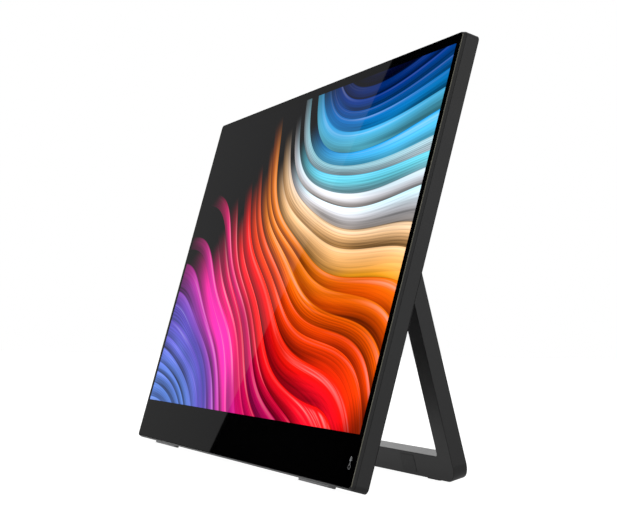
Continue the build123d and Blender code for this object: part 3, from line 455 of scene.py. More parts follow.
def moulded_plastic(name, colour, roughness, depth, edge_line, scale=2.4, look=None):
    """Moulded plastic with eroded grain, faint clouding and painted shade: dark lines along its
    edges and along the rear cover's side corners.

    With a look, the lip beside the glass gets the pale colour of the glass's edge, a painted
    highlight.
    """
    finish = Finish(name)
    cloud = finish.noise(0.035, 3)
    grain = finish.noise(scale, 3, 0.6)
    base = finish.mix(cloud * 0.5, colour, tint(colour, 1.5, 0.002))
    gloss = roughness + 0.1 * (cloud - 0.5) + 0.12 * (grain - 0.5)
    aside, into = finish.aside(), finish.along(into_display)
    side = display_box("rear_cover")[1].x - edge_line
    back = display_box("electronics_cover")[0].z - edge_line
    # Painted shade: dark lines on square edges and along the rear corners at both sides.
    corner = (aside > side / MILLIMETRE) * (into > back / MILLIMETRE)
    dull = 0.7 * finish.larger(finish.edges(edge_line), corner)
    if look:
        # Painted highlight: the frame's lip beside the glass takes the glass edge's pale colour and
        # loses the painted shade.
        past = aside - display_box("cover_glass", MILLIMETRE)[1].x
        lip = (past > 0) * (past < look.lip / MILLIMETRE) * (into < look.lip_depth / MILLIMETRE)
        base = finish.mix(lip, base, look.glass_edge_highlight)
        dull = dull * (1 - lip)
    return finish.surface(base, gloss, finish.bump(grain, depth), dull=dull)


def painted_metal(name, colour, roughness, edge_line, pad):
    """Satin paint on metal: a fine peel, a little clouding and painted shade in dark lines along
    its edges.

    The pockets of the rubber pads, which lie in mirrored places, have no such lines.
    """
    finish = Finish(name)
    cloud = finish.noise(0.03, 3)
    peel = finish.noise(1.5, 2, 0.4)
    speck = finish.noise(5.5, 2, 0.6)
    base = finish.mix(cloud * 0.5, colour, tint(colour, 1.6, 0.002))
    gloss = roughness + 0.08 * (cloud - 0.5) + 0.08 * (speck - 0.5)
    low, high = (Vector(corner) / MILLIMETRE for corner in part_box(pad))
    middle, half = (low + high) / 2, (high - low) / 2 + POCKET_MARGIN
    beside = finish.within(finish.size_of(finish.reach(finish.place, RIGHT)), middle.x, half.x)
    level = finish.within(finish.reach(finish.place, UPRIGHT), middle.z, half.z)
    # Painted shade: dark lines on square edges, kept off the pads' pockets.
    dull = 0.95 * finish.edges(edge_line) * (1 - beside * level)
    normal = finish.bump(peel + 0.4 * speck, 25 * MICROMETRE)
    return finish.surface(base, gloss, normal, dull=dull)


def soft_rubber(name, colour, dusty=0.35, roughness=0.78):
    """Matte rubber with a fine tooth and a trace of dust."""
    finish = Finish(name)
    tooth = finish.noise(4.0, 3, 0.7)
    dust = finish.step(finish.noise(0.5, 4, 0.6), 0.5, 0.8)
    base = finish.mix(dust * dusty, colour, DUST)
    gloss = roughness + 0.12 * (tooth - 0.5)
    return finish.surface(base, gloss, finish.bump(tooth, 40 * MICROMETRE))


def brushed_metal(name, colour, roughness, stretch=(1, 30, 30)):
    """Sheet or turned metal with fine lines along one direction."""
    finish = Finish(name)
    lines = finish.lines(stretch, 0.35, 4, 0.65)
    cloud = finish.noise(0.12, 3)
    base = finish.mix(0.55 * lines + 0.45 * cloud, tint(colour, 0.72), colour)
    gloss = roughness + 0.22 * (lines - 0.5) + 0.1 * (cloud - 0.5)
    return finish.surface(base, gloss, finish.bump(lines, 10 * MICROMETRE), metal=0.95)


def plain_moulding(name, colour, roughness):
    """Small moulded part with flow marks."""
    finish = Finish(name)
    flow = finish.lines((1, 1, 0.3), 0.8, 3)
    grain = finish.noise(6.0)
    base = finish.mix(flow, tint(colour, 0.8), tint(colour, 1.3))
    gloss = roughness + 0.15 * (flow - 0.5) + 0.1 * (grain - 0.5)
    return finish.surface(base, gloss, finish.bump(grain, 10 * MICROMETRE))


def clear_layer(name, colour, roughness, dots=0.0):
    """Clear or milky film with faint waves, and printed dots where it guides light."""
    finish = Finish(name)
    dot = (finish.cells(0.9, 0.1) < 0.3) * dots
    base = finish.mix(finish.noise(0.05) * 0.5, colour, tint(colour, 0.85))
    base = finish.mix(dot, base, WHITE)
    return finish.surface(base, roughness + 0.08 * (finish.noise(3.0) - 0.5) + 0.2 * dot)


def etched_board(name, colour, gold):
    """Circuit board with tracks under its solder mask and gilt pads."""
    finish = Finish(name)
    lanes = finish.fraction(finish.along(RIGHT) * TRACKS_IN_ONE) < TRACK_SHARE
    rows = finish.fraction(finish.along(up_display) * TRACKS_IN_ONE) < TRACK_SHARE
    region = finish.noise(0.09) > 0.5
    track = finish.maths("MINIMUM", lanes * region + rows * (1 - region), 1)
    pad = finish.cells(0.32) < 0.2
    base = finish.mix(track, colour, tint(colour, 2.1, 0.004))
    base = finish.mix(pad, base, gold)
    gloss = 0.4 + 0.1 * (finish.noise(2.0) - 0.5) - 0.1 * pad
    normal = finish.bump(track + pad, 30 * MICROMETRE)
    return finish.surface(base, gloss, normal, metal=pad * 0.9)


def ribbon_film(name, colour, across):
    """Flat cable: amber film over copper wires that lie side by side along an axis."""
    finish = Finish(name)
    row = finish.fraction(finish.along(across))
    wire = finish.step(row, 0.3, 0.36) * (1 - finish.step(row, 0.64, 0.7))
    cloud = finish.noise(0.2)
    base = finish.mix(wire * 0.7, colour, COPPER)
    base = finish.mix(cloud * 0.3, base, tint(colour, 0.6))
    gloss = 0.32 + 0.1 * (cloud - 0.5) - 0.06 * wire
    return finish.surface(base, gloss, finish.bump(wire, 20 * MICROMETRE))


BAND_COLOURS = [
    (0.0, linear(96, 140, 235)),
    (0.08, linear(104, 84, 212)),
    (0.15, linear(206, 44, 180)),
    (0.26, linear(250, 24, 140)),
    (0.35, linear(214, 0, 70)),
    (0.43, linear(252, 16, 10)),
    (0.52, linear(255, 88, 0)),
    (0.59, linear(255, 168, 32)),
    (0.65, linear(255, 214, 168)),
    (0.71, linear(240, 242, 250)),
    (0.77, linear(120, 234, 255)),
    (0.84, linear(16, 152, 232)),
    (0.92, linear(0, 66, 164)),
    (1.0, linear(2, 14, 66)),
]

# Waves along the bands: radians in a millimetre, and where each starts.
SWING_RATE, SWING_START = 0.0205, 0.75
RIPPLE_RATE, RIPPLE_SLANT, RIPPLE_START = 0.044, 0.013, 2.1
DRAW_RATE, DRAW_START = 0.017, 0.4
RIPPLE_SHARE = 0.3

# Reach of the first and the last colour from the middle, as shares of the picture's own.
HUE_START, HUE_END = 0.94, 1.02
UNEVEN_FOLDS = 2.6
PLEATS_IN_FOLD = 6

# Where the dark parts begin and end, and how far single ribbons differ, in millimetres.
DUSK, DUSK_SCATTER = (118, 168), 46
GLOOM, GLOOM_SCATTER = (92, 132), 30


def picture_colour(finish, settings, across, height):
    """Swaying bands in fine folds, violet and red low on the left to blue high on the right."""
    fold = settings.fold / MILLIMETRE
    sway = settings.sway / MILLIMETRE
    cosine, sine = math.cos(settings.lean), math.sin(settings.lean)
    over = across * cosine + height * sine
    along = height * cosine - across * sine
    swing = finish.sine(along * SWING_RATE + SWING_START) * sway
    ripple = finish.sine(along * RIPPLE_RATE + over * RIPPLE_SLANT + RIPPLE_START)
    ripple = ripple * (RIPPLE_SHARE * sway)
    draw = 1 + settings.pinch * finish.sine(along * DRAW_RATE + DRAW_START)
    middle = picture_height * sine / 2
    reach = picture_half * cosine + middle
    low, high = middle - reach * HUE_START, middle + reach * HUE_END
    level = middle + (over - middle + swing + ripple) * draw

    def streaks(fine, long, seed, detail, roughness=0.5):
        """Noise drawn out along the bands."""
        return finish.noise(1, detail, roughness, finish.point(level * fine, along * long, seed))

    uneven = streaks(0.03, 0.0035, 0, 1)
    wander = streaks(0.02, 0.004, 1.3, 2)
    strands = streaks(0.62, 0.005, 3.7, 3, 0.65)
    threads = streaks(1.9, 0.004, 9.1, 2)
    broad = streaks(0.018, 0.010, 7.7, 1)
    depth = finish.step(streaks(0.035, 0.006, 5.2, 2), 0.26, 0.58)

    # Each whole number of turns is one ribbon, with a chance, pleats and a place of its own.
    turn = level / fold + UNEVEN_FOLDS * uneven
    phase = finish.fraction(turn)
    ribbon = finish.maths("FLOOR", turn)
    chance = finish.chance(ribbon)
    pleat = finish.step(finish.fraction(turn * PLEATS_IN_FOLD + 3 * uneven), 0.0, 0.8)
    pleated = 1 - 0.42 * finish.chance(ribbon + 40) * (1 - pleat)
    hue = (level - low) / (high - low) + 0.09 * (wander - 0.5) + 0.07 * (chance - 0.5)
    colour = finish.node("ShaderNodeValToRGB", {"stops": BAND_COLOURS}, {"Fac": hue})

    # Light rises along a fold, drops at its end and gleams on its crest.
    rise = finish.step(phase, 0.0, 0.92) * (1 - finish.step(phase, 0.95, 1.0))
    shade = 1 - depth * 0.8 * (1 - rise)
    wide = 0.85 + 0.75 * finish.step(broad, 0.25, 0.7)
    light = shade * pleated * wide * (0.85 + 0.35 * chance)
    light = finish.larger(light + 0.6 * (strands - 0.5) + 0.24 * (threads - 0.5), 0.03)
    shaded = finish.vector("MULTIPLY", colour, finish.grey(light))
    crest = finish.step(phase, 0.62, 0.86) * (1 - finish.step(phase, 0.9, 0.95))
    gleam = crest * finish.step(broad, 0.3, 0.62) * finish.step(strands, 0.4, 0.62)
    lit = finish.mix(gleam * 0.5, shaded, finish.mix(0.55, colour, WHITE))

    # Ribbons end at the dark of the upper left and of the lower right, each at its own place.
    corner = height * 0.86 - across * 0.52 + 0.5 * swing + DUSK_SCATTER * (chance - 0.5)
    ground = across * 0.8 - height * 1.15 + 0.4 * swing + GLOOM_SCATTER * (chance - 0.5)
    dark = finish.larger(finish.step(corner, *DUSK), finish.step(ground, *GLOOM) * 0.8)
    return finish.mix(dark, lit, settings.night)


def lit_glass(settings, look):
    """Cover glass: black print and lit picture under a smooth front, and a painted edge highlight.
    """
    finish = Finish("cover_glass_lit")
    across, height = finish.along(RIGHT), finish.along(up_display)
    inset, middle = settings.inset / MILLIMETRE, picture_height / 2
    inside = finish.within(across, 0, picture_half - inset)
    inside = inside * finish.within(height, middle, middle - inset)
    edge = display_box("cover_glass", MILLIMETRE)[1].x
    # Painted highlight: a pale band along the glass's left and right edges.
    ground = finish.size_of(across) > edge - look.edge_ground / MILLIMETRE
    smear = finish.noise(0.02, 4, 0.6)
    smooth = 0.012 + 0.012 * finish.step(smear, 0.45, 0.75) + 0.006 * finish.noise(0.6)
    body = finish.mix(smear * 0.4, look.border, tint(look.border, 1.6))
    body = finish.mix(ground, body, look.glass_edge_highlight)
    shown = finish.mix(inside, BLACK, picture_colour(finish, settings, across, height))
    return finish.surface(body, smooth + 0.4 * ground, glow=shown, strength=settings.brightness)


def socket_shell(names, steel, details):
    """Bright shell whose tongue is black moulding."""
    finish = Finish("socket_shell")
    across, height, into = (finish.along(axis) for axis in (RIGHT, up_display, into_display))
    tongue = 0.0
    for name in names:
        low, high = display_box(name, MILLIMETRE)
        middle = (low + high) / 2
        on_it = finish.within(height, middle.y, (high.y - low.y) / 2 - TONGUE_FROM_SIDE)
        thick = details.tongue / MILLIMETRE * TONGUE_HALF_SHARE
        on_it = on_it * finish.within(into, middle.z, thick)
        tongue = finish.larger(on_it * (across > low.x + TONGUE_FROM_MOUTH), tongue)
    lines = finish.lines((0.2, 4, 4), 0.8, 3)
    base = finish.mix(lines, tint(steel, 0.8), steel)
    base = finish.mix(tongue, base, BLACK_MOULDING)
    gloss = 0.24 + 0.15 * (lines - 0.5) + 0.25 * tongue
    return finish.surface(base, gloss, metal=0.95 - 0.95 * tongue)


def speaker_face(colour):
    """Black frame round a paper cone."""
    finish = Finish("speaker_parts")
    low, high = display_box("speaker_right", MILLIMETRE)
    middle = (low + high) / 2
    out = finish.aside() - middle.x
    up = finish.along(up_display) - middle.y
    cone = finish.maths("SQRT", out * out + up * up) < CONE_RADIUS
    fibre = finish.noise(3.0, 3)
    base = finish.mix(cone, colour, PAPER_CONE)
    base = finish.mix(fibre * 0.4, base, tint(colour, 2.0))
    gloss = 0.55 + 0.2 * (fibre - 0.5) + 0.2 * cone
    return finish.surface(base, gloss, finish.bump(fibre, 20 * MICROMETRE))


def lamp_board(name):
    """White board with a row of yellow lamps."""
    finish = Finish(name)
    lamp = finish.within(finish.fraction(finish.along(RIGHT) / LAMP_PITCH), 0.5, 0.3)
    speck = finish.noise(1.2)
    base = finish.mix(lamp, LAMP_WHITE, LAMP_YELLOW)
    base = finish.mix(speck * 0.2, base, (0.5, 0.5, 0.48, 1))
    return finish.surface(base, 0.35 + 0.15 * (speck - 0.5))


def milky_light(name):
    """Milky plastic that glows a cool white."""
    finish = Finish(name)
    milk = finish.noise(1.5)
    glow = finish.mix(milk, (0.55, 0.75, 1, 1), (0.85, 0.93, 1, 1))
    return finish.surface((0.6, 0.66, 0.7, 1), 0.25 + 0.1 * milk, glow=glow, strength=0.7)


def printed_ink(colour):
    """Matte ink with fine specks."""
    finish = Finish("sign_ink")
    speck = finish.noise(6.0, 3)
    base = finish.mix(speck * 0.5, colour, tint(colour, 0.7))
    return finish.surface(base, 0.5 + 0.2 * (speck - 0.5))


dressed = set()


def dress(material, *names):
    """Give CAD nodes a material."""
    for name in names:
        for slot in nodes[name].material_slots:
            slot.material = material
        dressed.add(name)


def both(*names):
    """Names of nodes that come as a left and a right one."""
    return [f"{name}_{side}" for name in names for side in SIDES]


def add_object(name, mesh, material):
    """Object at the origin with its place in its mesh."""
    mesh.materials.clear()
    mesh.materials.append(material)
    made = bpy.data.objects.new(name, mesh)
    bpy.context.scene.collection.objects.link(made)
    return made


def add_piece(name, mesh, material):
    """Piece on the display from a mesh that lies along the display's own axes."""
    mesh.transform(display)
    mesh.flip_normals()
    piece = add_object(name, mesh, material)
    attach(piece, BODY)


class Pattern(Tree):
    """A Geometry Nodes tree whose sizes and material are named inputs."""

    KINDS = {"Count": "NodeSocketInt", "Finish": "NodeSocketMaterial"}

    def __init__(self, name, *sizes):
        group = bpy.data.node_groups.new(name, "GeometryNodeTree")
        super().__init__(group)
        sockets = group.interface
        sockets.new_socket(name="Geometry", in_out="OUTPUT", socket_type="NodeSocketGeometry")
        self.ids = []
        for label in (*sizes, "Finish"):
            kind = self.KINDS.get(label, "NodeSocketFloat")
            made = sockets.new_socket(name=label, in_out="INPUT", socket_type=kind)
            self.ids.append(made.identifier)
        source = group.nodes.new("NodeGroupInput")
        self.values = [Term(self, source.outputs[label]) for label in (*sizes, "Finish")]

    def row(self, count, start, offset, size):
        """Boxes of one size along a straight line."""
        sockets = {"Count": count, "Start Location": start, "Offset": offset}
        line = self.node("GeometryNodeMeshLine", {"mode": "OFFSET"}, sockets)
        box = self.node("GeometryNodeMeshCube", {}, {"Size": size})
        return self.node("GeometryNodeInstanceOnPoints", {}, {"Points": line, "Instance": box})

    def close(self, finish, *parts):
        """Join the parts, make them real and give them their material."""
        joined = self.tree.nodes.new("GeometryNodeJoinGeometry")
        for part in parts:
            self.tree.links.new(part.socket, joined.inputs[0])
        real = self.node("GeometryNodeRealizeInstances", {}, {0: Term(self, joined.outputs[0])})
        painted = self.node("GeometryNodeSetMaterial", {}, {"Geometry": real, "Material": finish})
        self.node("NodeGroupOutput", {}, {0: painted})

    def grow(self, *settings):
        """Plain mesh that the tree makes with these inputs, in the order of its sockets."""
        carrier = bpy.data.objects.new("carrier", bpy.data.meshes.new("carrier"))
        bpy.context.scene.collection.objects.link(carrier)
        modifier = carrier.modifiers.new("pattern", "NODES")
        modifier.node_group = self.tree
        for identifier, value in zip(self.ids, settings, strict=True):
            modifier[identifier] = value
        shown = carrier.evaluated_get(bpy.context.evaluated_depsgraph_get())
        mesh = bpy.data.meshes.new_from_object(shown)
        carrier.modifiers.remove(modifier)
        bpy.data.objects.remove(carrier)
        if not mesh.polygons:
            raise RuntimeError(f"{self.tree.name} made nothing")
        return mesh


def woven_mesh_pattern():
    """Dust mesh: threads both ways, one layer over the other."""
    pattern = Pattern("woven_mesh", "Width", "Height", "Pitch", "Wire")
    width, height, pitch, wire, finish = pattern.values
    point = pattern.point
    start, offset = point((pitch - width) / 2, 0, 0), point(pitch, 0, 0)
    columns = pattern.row(width / pitch, start, offset, point(wire, height, wire))
    start, offset = point(0, (pitch - height) / 2, wire), point(0, pitch, 0)
    rows = pattern.row(height / pitch, start, offset, point(width, wire, wire))
    pattern.close(finish, columns, rows)
    return pattern


def contact_pattern():
    """Rows of contacts on both faces of a socket's tongue."""
    pattern = Pattern("contact_rows", "Count", "Pitch", "Width", "Length", "Depth", "Tongue")
    count, pitch, width, length, depth, tongue, finish = pattern.values
    first = (1 - count) * pitch / 2
    rise = (tongue + depth) / 2
    offset, blade = pattern.point(0, pitch, 0), pattern.point(length, width, depth)
    starts = (pattern.point(0, first, way * rise) for way in (-1, 1))
    pattern.close(finish, *(pattern.row(count, start, offset, blade) for start in starts))
    return pattern


def shape_mesh(name, shape):
    """Mesh from a finished shape, which is freed."""
    mesh = bpy.data.meshes.new(name)
    shape.to_mesh(mesh)
    shape.free()
    return mesh


def merged(name, parts):
    """One mesh from several, each moved to its own place on the display."""
    shape = bmesh.new()
    for mesh, spot in parts:
        mesh.transform(Matrix.Translation(spot))
        shape.from_mesh(mesh)
    return shape_mesh(name, shape)


def arc(middle, radius, start, sweep, steps=40):
    """Points along an arc, with angles in degrees from the right, anticlockwise."""
    angles = [math.radians(start + sweep * i / steps) for i in range(steps + (sweep < 360))]
    return [middle + radius * Vector((math.cos(angle), math.sin(angle))) for angle in angles]


def add_line(shape, points, width, depths, closed=False):
    """Add a flat stroke along points of the display's face, between two depths."""
    low, high = depths
    rings = []
    for i, spot in enumerate(points):
        before = points[i - 1] if closed or i else spot
        after = points[(i + 1) % len(points)] if closed or i < len(points) - 1 else spot
        run = (after - before).normalized()
        aside = Vector((-run.y, run.x)) * width / 2
        outer, inner = spot + aside, spot - aside
        corners = ((outer, low), (outer, high), (inner, high), (inner, low))
        rings.append([shape.verts.new((*place, depth)) for place, depth in corners])
    pairs = list(zip(rings, rings[1:])) + ([(rings[-1], rings[0])] if closed else [])
    for here, there in pairs:
        for i in range(4):
            j = (i + 1) % 4
            shape.faces.new((here[i], here[j], there[j], there[i]))
    if not closed:
        shape.faces.new(rings[0])
        shape.faces.new(rings[-1])


def add_sign(name, shape, ink):
    bmesh.ops.recalc_face_normals(shape, faces=shape.faces)
    add_piece(name, shape_mesh(name, shape), ink)


class MONITOR_OT_glass(bpy.types.Operator):
    """Finish the cover glass, which shows the picture and its black border."""

    bl_idname = "monitor.glass"
    bl_label = "Cover glass"

    def execute(self, context):
        scene = context.scene
        dress(lit_glass(scene.monitor_picture, scene.monitor_finishes), "cover_glass")
        return {"FINISHED"}


class MONITOR_OT_housing(bpy.types.Operator):
    """Finish the front frame, the rear cover and the electronics cover."""

    bl_idname = "monitor.housing"
    bl_label = "Housing"

    def execute(self, context):
        look = context.scene.monitor_finishes
        grain = (look.housing, look.housing_roughness, look.grain, look.edge_line)
        dress(moulded_plastic("housing_grain", *grain), "rear_cover", "electronics_cover")
        dress(moulded_plastic("frame_grain", *grain, look=look), "front_frame")
        return {"FINISHED"}


class MONITOR_OT_stand(bpy.types.Operator):
    """Finish the folding stand and the worn pads let into its bar."""

    bl_idname = "monitor.stand"
    bl_label = "Stand"

    # Faces of a pad within this distance of its front wear down with it.
    FRONT_DEPTH = 10 * MICROMETRE

    def execute(self, context):
        look = context.scene.monitor_finishes
        gloss = look.stand_roughness
        paint = painted_metal("stand_paint", look.stand, gloss, look.edge_line, "stand_pad_right")
        dress(paint, "stand_frame")
        rubber = soft_rubber("stand_pad_rubber", look.stand, 0.1, gloss + 0.05)
        for node in both("stand_pad"):
            worn = self.worn_pad(nodes[node].data, look.pad_wear)
            piece = add_object(f"worn_{node}", worn, rubber)
            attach(piece, "stand")
            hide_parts(node)
            dress(rubber, node)
        return {"FINISHED"}

    def worn_pad(self, pad, wear):
        """Copy of a pad whose proud front lies a little lower."""
        worn = pad.copy()
        faces = [face for face in worn.polygons if face.normal.y < -0.5]
        front = max(faces, key=lambda face: face.area)
        out, level = front.normal.copy(), front.normal.dot(front.center)
        for vert in worn.vertices:
            if out.dot(vert.co) > level - self.FRONT_DEPTH:
                vert.co -= out * wear
        return worn


class MONITOR_OT_feet(bpy.types.Operator):
    """Finish the rubber feet."""

    bl_idname = "monitor.feet"
    bl_label = "Feet"

    def execute(self, context):
        look = context.scene.monitor_finishes
        dress(soft_rubber("black_foot_rubber", look.rubber), *both("stand_foot"))
        # The display's feet: grey rubber made pale as painted light from the bright floor.
        dress(soft_rubber("grey_foot_rubber", look.grey_rubber_and_painted_light, 0.2), *both("front_foot"))
        return {"FINISHED"}


class MONITOR_OT_layers(bpy.types.Operator):
    """Finish the layers of the display behind the glass."""

    bl_idname = "monitor.layers"
    bl_label = "Display layers"

    def execute(self, context):
        look = context.scene.monitor_finishes
        dress(plain_moulding("border_ink", BLACK_INK_AND_SHADE, 0.3), "border_print")
        film = clear_layer("sensor_film", (0.7, 0.72, 0.73, 1), 0.15)
        dress(film, "touch_sensor", "optical_films")
        dress(plain_moulding("tape_foam", (0.008, 0.008, 0.008, 1), 0.7), "glass_tape")
        dress(clear_layer("cell_glass", (0.03, 0.03, 0.036, 1), 0.12), "lcd_cell")
        dress(clear_layer("guide_acrylic", (0.78, 0.8, 0.82, 1), 0.12, 0.6), "light_guide")
        dress(clear_layer("reflector_film", (0.82, 0.82, 0.82, 1), 0.4), "reflector_sheet")
        dress(lamp_board("lamp_row"), "lamp_strip")
        dress(brushed_metal("tray_sheet", look.steel, 0.34), "backlight_tray")
        dress(soft_rubber("pad_foam", (0.02, 0.02, 0.02, 1), 0.6), "foam_pads")
        return {"FINISHED"}


class MONITOR_OT_boards(bpy.types.Operator):
    """Finish the circuit boards, their shield and their flat cables."""

    bl_idname = "monitor.boards"
    bl_label = "Boards and cables"

    def execute(self, context):
        look = context.scene.monitor_finishes
        board = etched_board("board_mask", look.board, look.gold)
        dress(board, "driver_board", "main_board", "touch_board", "button_board")
        upright = ribbon_film("upright_ribbon", look.amber, RIGHT)
        dress(upright, "driver_films", "display_cable", "touch_cable")
        level = ribbon_film("level_ribbon", look.amber, up_display)
        dress(level, "button_cable", "bridge_cable")
        dress(brushed_metal("shield_tin", look.steel, 0.28, (20, 2, 20)), "board_shield")
        return {"FINISHED"}


class MONITOR_OT_sockets(bpy.types.Operator):
    """Finish the sockets and lay the contacts on their tongues."""

    bl_idname = "monitor.sockets"
    bl_label = "Sockets"

    # Number of contacts in a row, and their pitch.
    ROWS = {
        "usb_c_socket_lower": (12, 0.0005),
        "usb_c_socket_upper": (12, 0.0005),
        "mini_hdmi_socket": (10, 0.0008),
    }

    def execute(self, context):
        look = context.scene.monitor_finishes
        details = context.scene.monitor_details
        dress(socket_shell(self.ROWS, look.steel, details), *self.ROWS)
        dress(plain_moulding("jack_moulding", BLACK_MOULDING, 0.35), "headphone_socket")
        gold = brushed_metal("contact_gold", look.gold, 0.25)
        length = details.contact_length
        sizes = (details.contact_width, length, details.contact_depth, details.tongue)
        pattern = contact_pattern()
        rows = []
        for name, (count, pitch) in self.ROWS.items():
            low, high = display_box(name)
            middle = (low + high) / 2
            middle.x = low.x + details.contact_inset + length / 2
            rows.append((pattern.grow(count, pitch, *sizes, gold), middle))
        add_piece("socket_contacts", merged("socket_contacts", rows), gold)
        return {"FINISHED"}


class MONITOR_OT_buttons(bpy.types.Operator):
    """Finish the buttons, their switches and the power light."""

    bl_idname = "monitor.buttons"
    bl_label = "Buttons and light"

    def execute(self, context):
        look = context.scene.monitor_finishes
        fine = (look.housing_roughness - 0.1, look.grain / 2, look.edge_line / 2, 4.0)
        dress(moulded_plastic("key_plastic", look.housing, *fine), "power_button", "menu_rocker")
        dress(brushed_metal("pin_steel", look.steel, 0.22), "rocker_pin")
        dress(plain_moulding("switch_moulding", (0.02, 0.02, 0.02, 1), 0.4), "key_switches")
        dress(milky_light("light_pipe"), "power_light")
        return {"FINISHED"}


class MONITOR_OT_hinges(bpy.types.Operator):
    """Finish the friction hinges."""

    bl_idname = "monitor.hinges"
    bl_label = "Hinges"

    def execute(self, context):
        steel = context.scene.monitor_finishes.steel
        dress(brushed_metal("bracket_steel", steel, 0.36, (2, 24, 24)), *both("hinge_bracket"))
        turned = brushed_metal("turned_steel", steel, 0.2, (30, 1, 1))
        dress(turned, *both("hinge_pin", "hinge_nut"))
        washer = brushed_metal("washer_steel", tint(steel, 0.8), 0.3, (30, 3, 3))
        dress(washer, *both("friction_washers"))
        return {"FINISHED"}


class MONITOR_OT_screws(bpy.types.Operator):
    """Finish the screws, black where they show and bright inside."""

    bl_idname = "monitor.screws"
    bl_label = "Screws"

    def execute(self, context):
        steel = context.scene.monitor_finishes.steel
        even = (6, 6, 6)
        blacked = brushed_metal("blacked_steel", (0.035, 0.035, 0.037, 1), 0.34, even)
        dress(blacked, "cover_screws", "frame_screws")
        dress(brushed_metal("bright_screw", steel, 0.25, even), "hinge_screws", "board_screws")
        return {"FINISHED"}


class MONITOR_OT_speakers(bpy.types.Operator):
    """Finish the speakers."""

    bl_idname = "monitor.speakers"
    bl_label = "Speakers"

    def execute(self, context):
        dress(speaker_face(DARK_PLASTIC), *both("speaker"))
        return {"FINISHED"}


class MONITOR_OT_dust_mesh(bpy.types.Operator):
    """Lay fine mesh behind the vents and the speaker grilles."""

    bl_idname = "monitor.dust_mesh"
    bl_label = "Dust mesh"

    def execute(self, context):
        details = context.scene.monitor_details
        thread = plain_moulding("mesh_thread", DARK_PLASTIC, 0.5)
        high = display_box("electronics_cover")[1]
        behind = high.z - details.cover_wall - 2 * details.mesh_wire
        vents = Vector((0, high.y - details.vent_drop, behind))
        sheets = [(vents, details.vent_width, details.vent_height)]
        for name in both("speaker"):
            first, last = display_box(name)
            spot = (first + last) / 2
            spot.z = behind
            sheets.append((spot, details.grille_width, details.grille_height))
        pattern = woven_mesh_pattern()
        threads = (details.mesh_pitch, details.mesh_wire, thread)
        parts = [(pattern.grow(wide, tall, *threads), spot) for spot, wide, tall in sheets]
        add_piece("dust_mesh", merged("dust_mesh", parts), thread)
        return {"FINISHED"}


class MONITOR_OT_signs(bpy.types.Operator):
    """Print the touch sign on the glass and the key signs on the back."""

    bl_idname = "monitor.signs"
    bl_label = "Signs"

    # Places from the middle of a sign. A finger is its place aside, its foot and its thickness.
    RING_DROP, RING_RADIUS = 0.0021, 0.0011
    FINGERS = ((-0.0008, 0.0006, 1.4), (0, -0.0006, 1.9), (0.0008, 0.0006, 1.4))
    FINGER_TOP = 0.0029
    POWER_RADIUS, POWER_START, POWER_SWEEP = 0.0015, 125, 290
    POWER_BAR = (0.0005, 0.0021)
    KEY_REACH, KEY_END = 0.0013, 0.002

    def execute(self, context):
        details = context.scene.monitor_details
        ink = printed_ink(context.scene.monitor_finishes.signs)
        self.print_touch_sign(details, ink)
        self.print_key_signs(details, ink)
        return {"FINISHED"}

    def print_touch_sign(self, details, ink):
        low, high = display_box("cover_glass")
        middle = Vector((high.x - details.touch_sign_side, -details.touch_sign_drop))
        depths = (low.z, low.z - details.ink)
        shape = bmesh.new()
        ring = arc(middle - Vector((0, self.RING_DROP)), self.RING_RADIUS, 0, 360)
        add_line(shape, ring, details.stroke, depths, closed=True)
        for aside, foot, thick in self.FINGERS:
            top = self.FINGER_TOP - abs(aside) / 2
            ends = [middle + Vector((aside, height)) for height in (foot, top)]
            add_line(shape, ends, details.stroke * thick, depths)
        add_sign("touch_sign", shape, ink)

    def print_key_signs(self, details, ink):
        corner = display_box("electronics_cover")[1]
        depths = (corner.z, corner.z + details.ink)
        x = corner.x - details.key_sign_inset
        shape = bmesh.new()

        def stroke(points):
            add_line(shape, points, details.stroke, depths)

        low, high = display_box("power_button")
        middle = Vector((x, (low.y + high.y) / 2))
        stroke(arc(middle, self.POWER_RADIUS, self.POWER_START, self.POWER_SWEEP))
        stroke([middle + Vector((0, height)) for height in self.POWER_BAR])
        low, high = display_box("menu_rocker")
        ends = (high.y - self.KEY_END, low.y + self.KEY_END)
        plus, minus = (Vector((x, height)) for height in ends)
        level, upright = Vector((self.KEY_REACH, 0)), Vector((0, self.KEY_REACH))
        gap = Vector((0, details.stroke / 2))
        stroke((plus - level, plus + level))
        for way in (-1, 1):
            stroke((plus + way * gap, plus + way * upright))
        stroke((minus - level, minus + level))
        add_sign("key_signs", shape, ink)


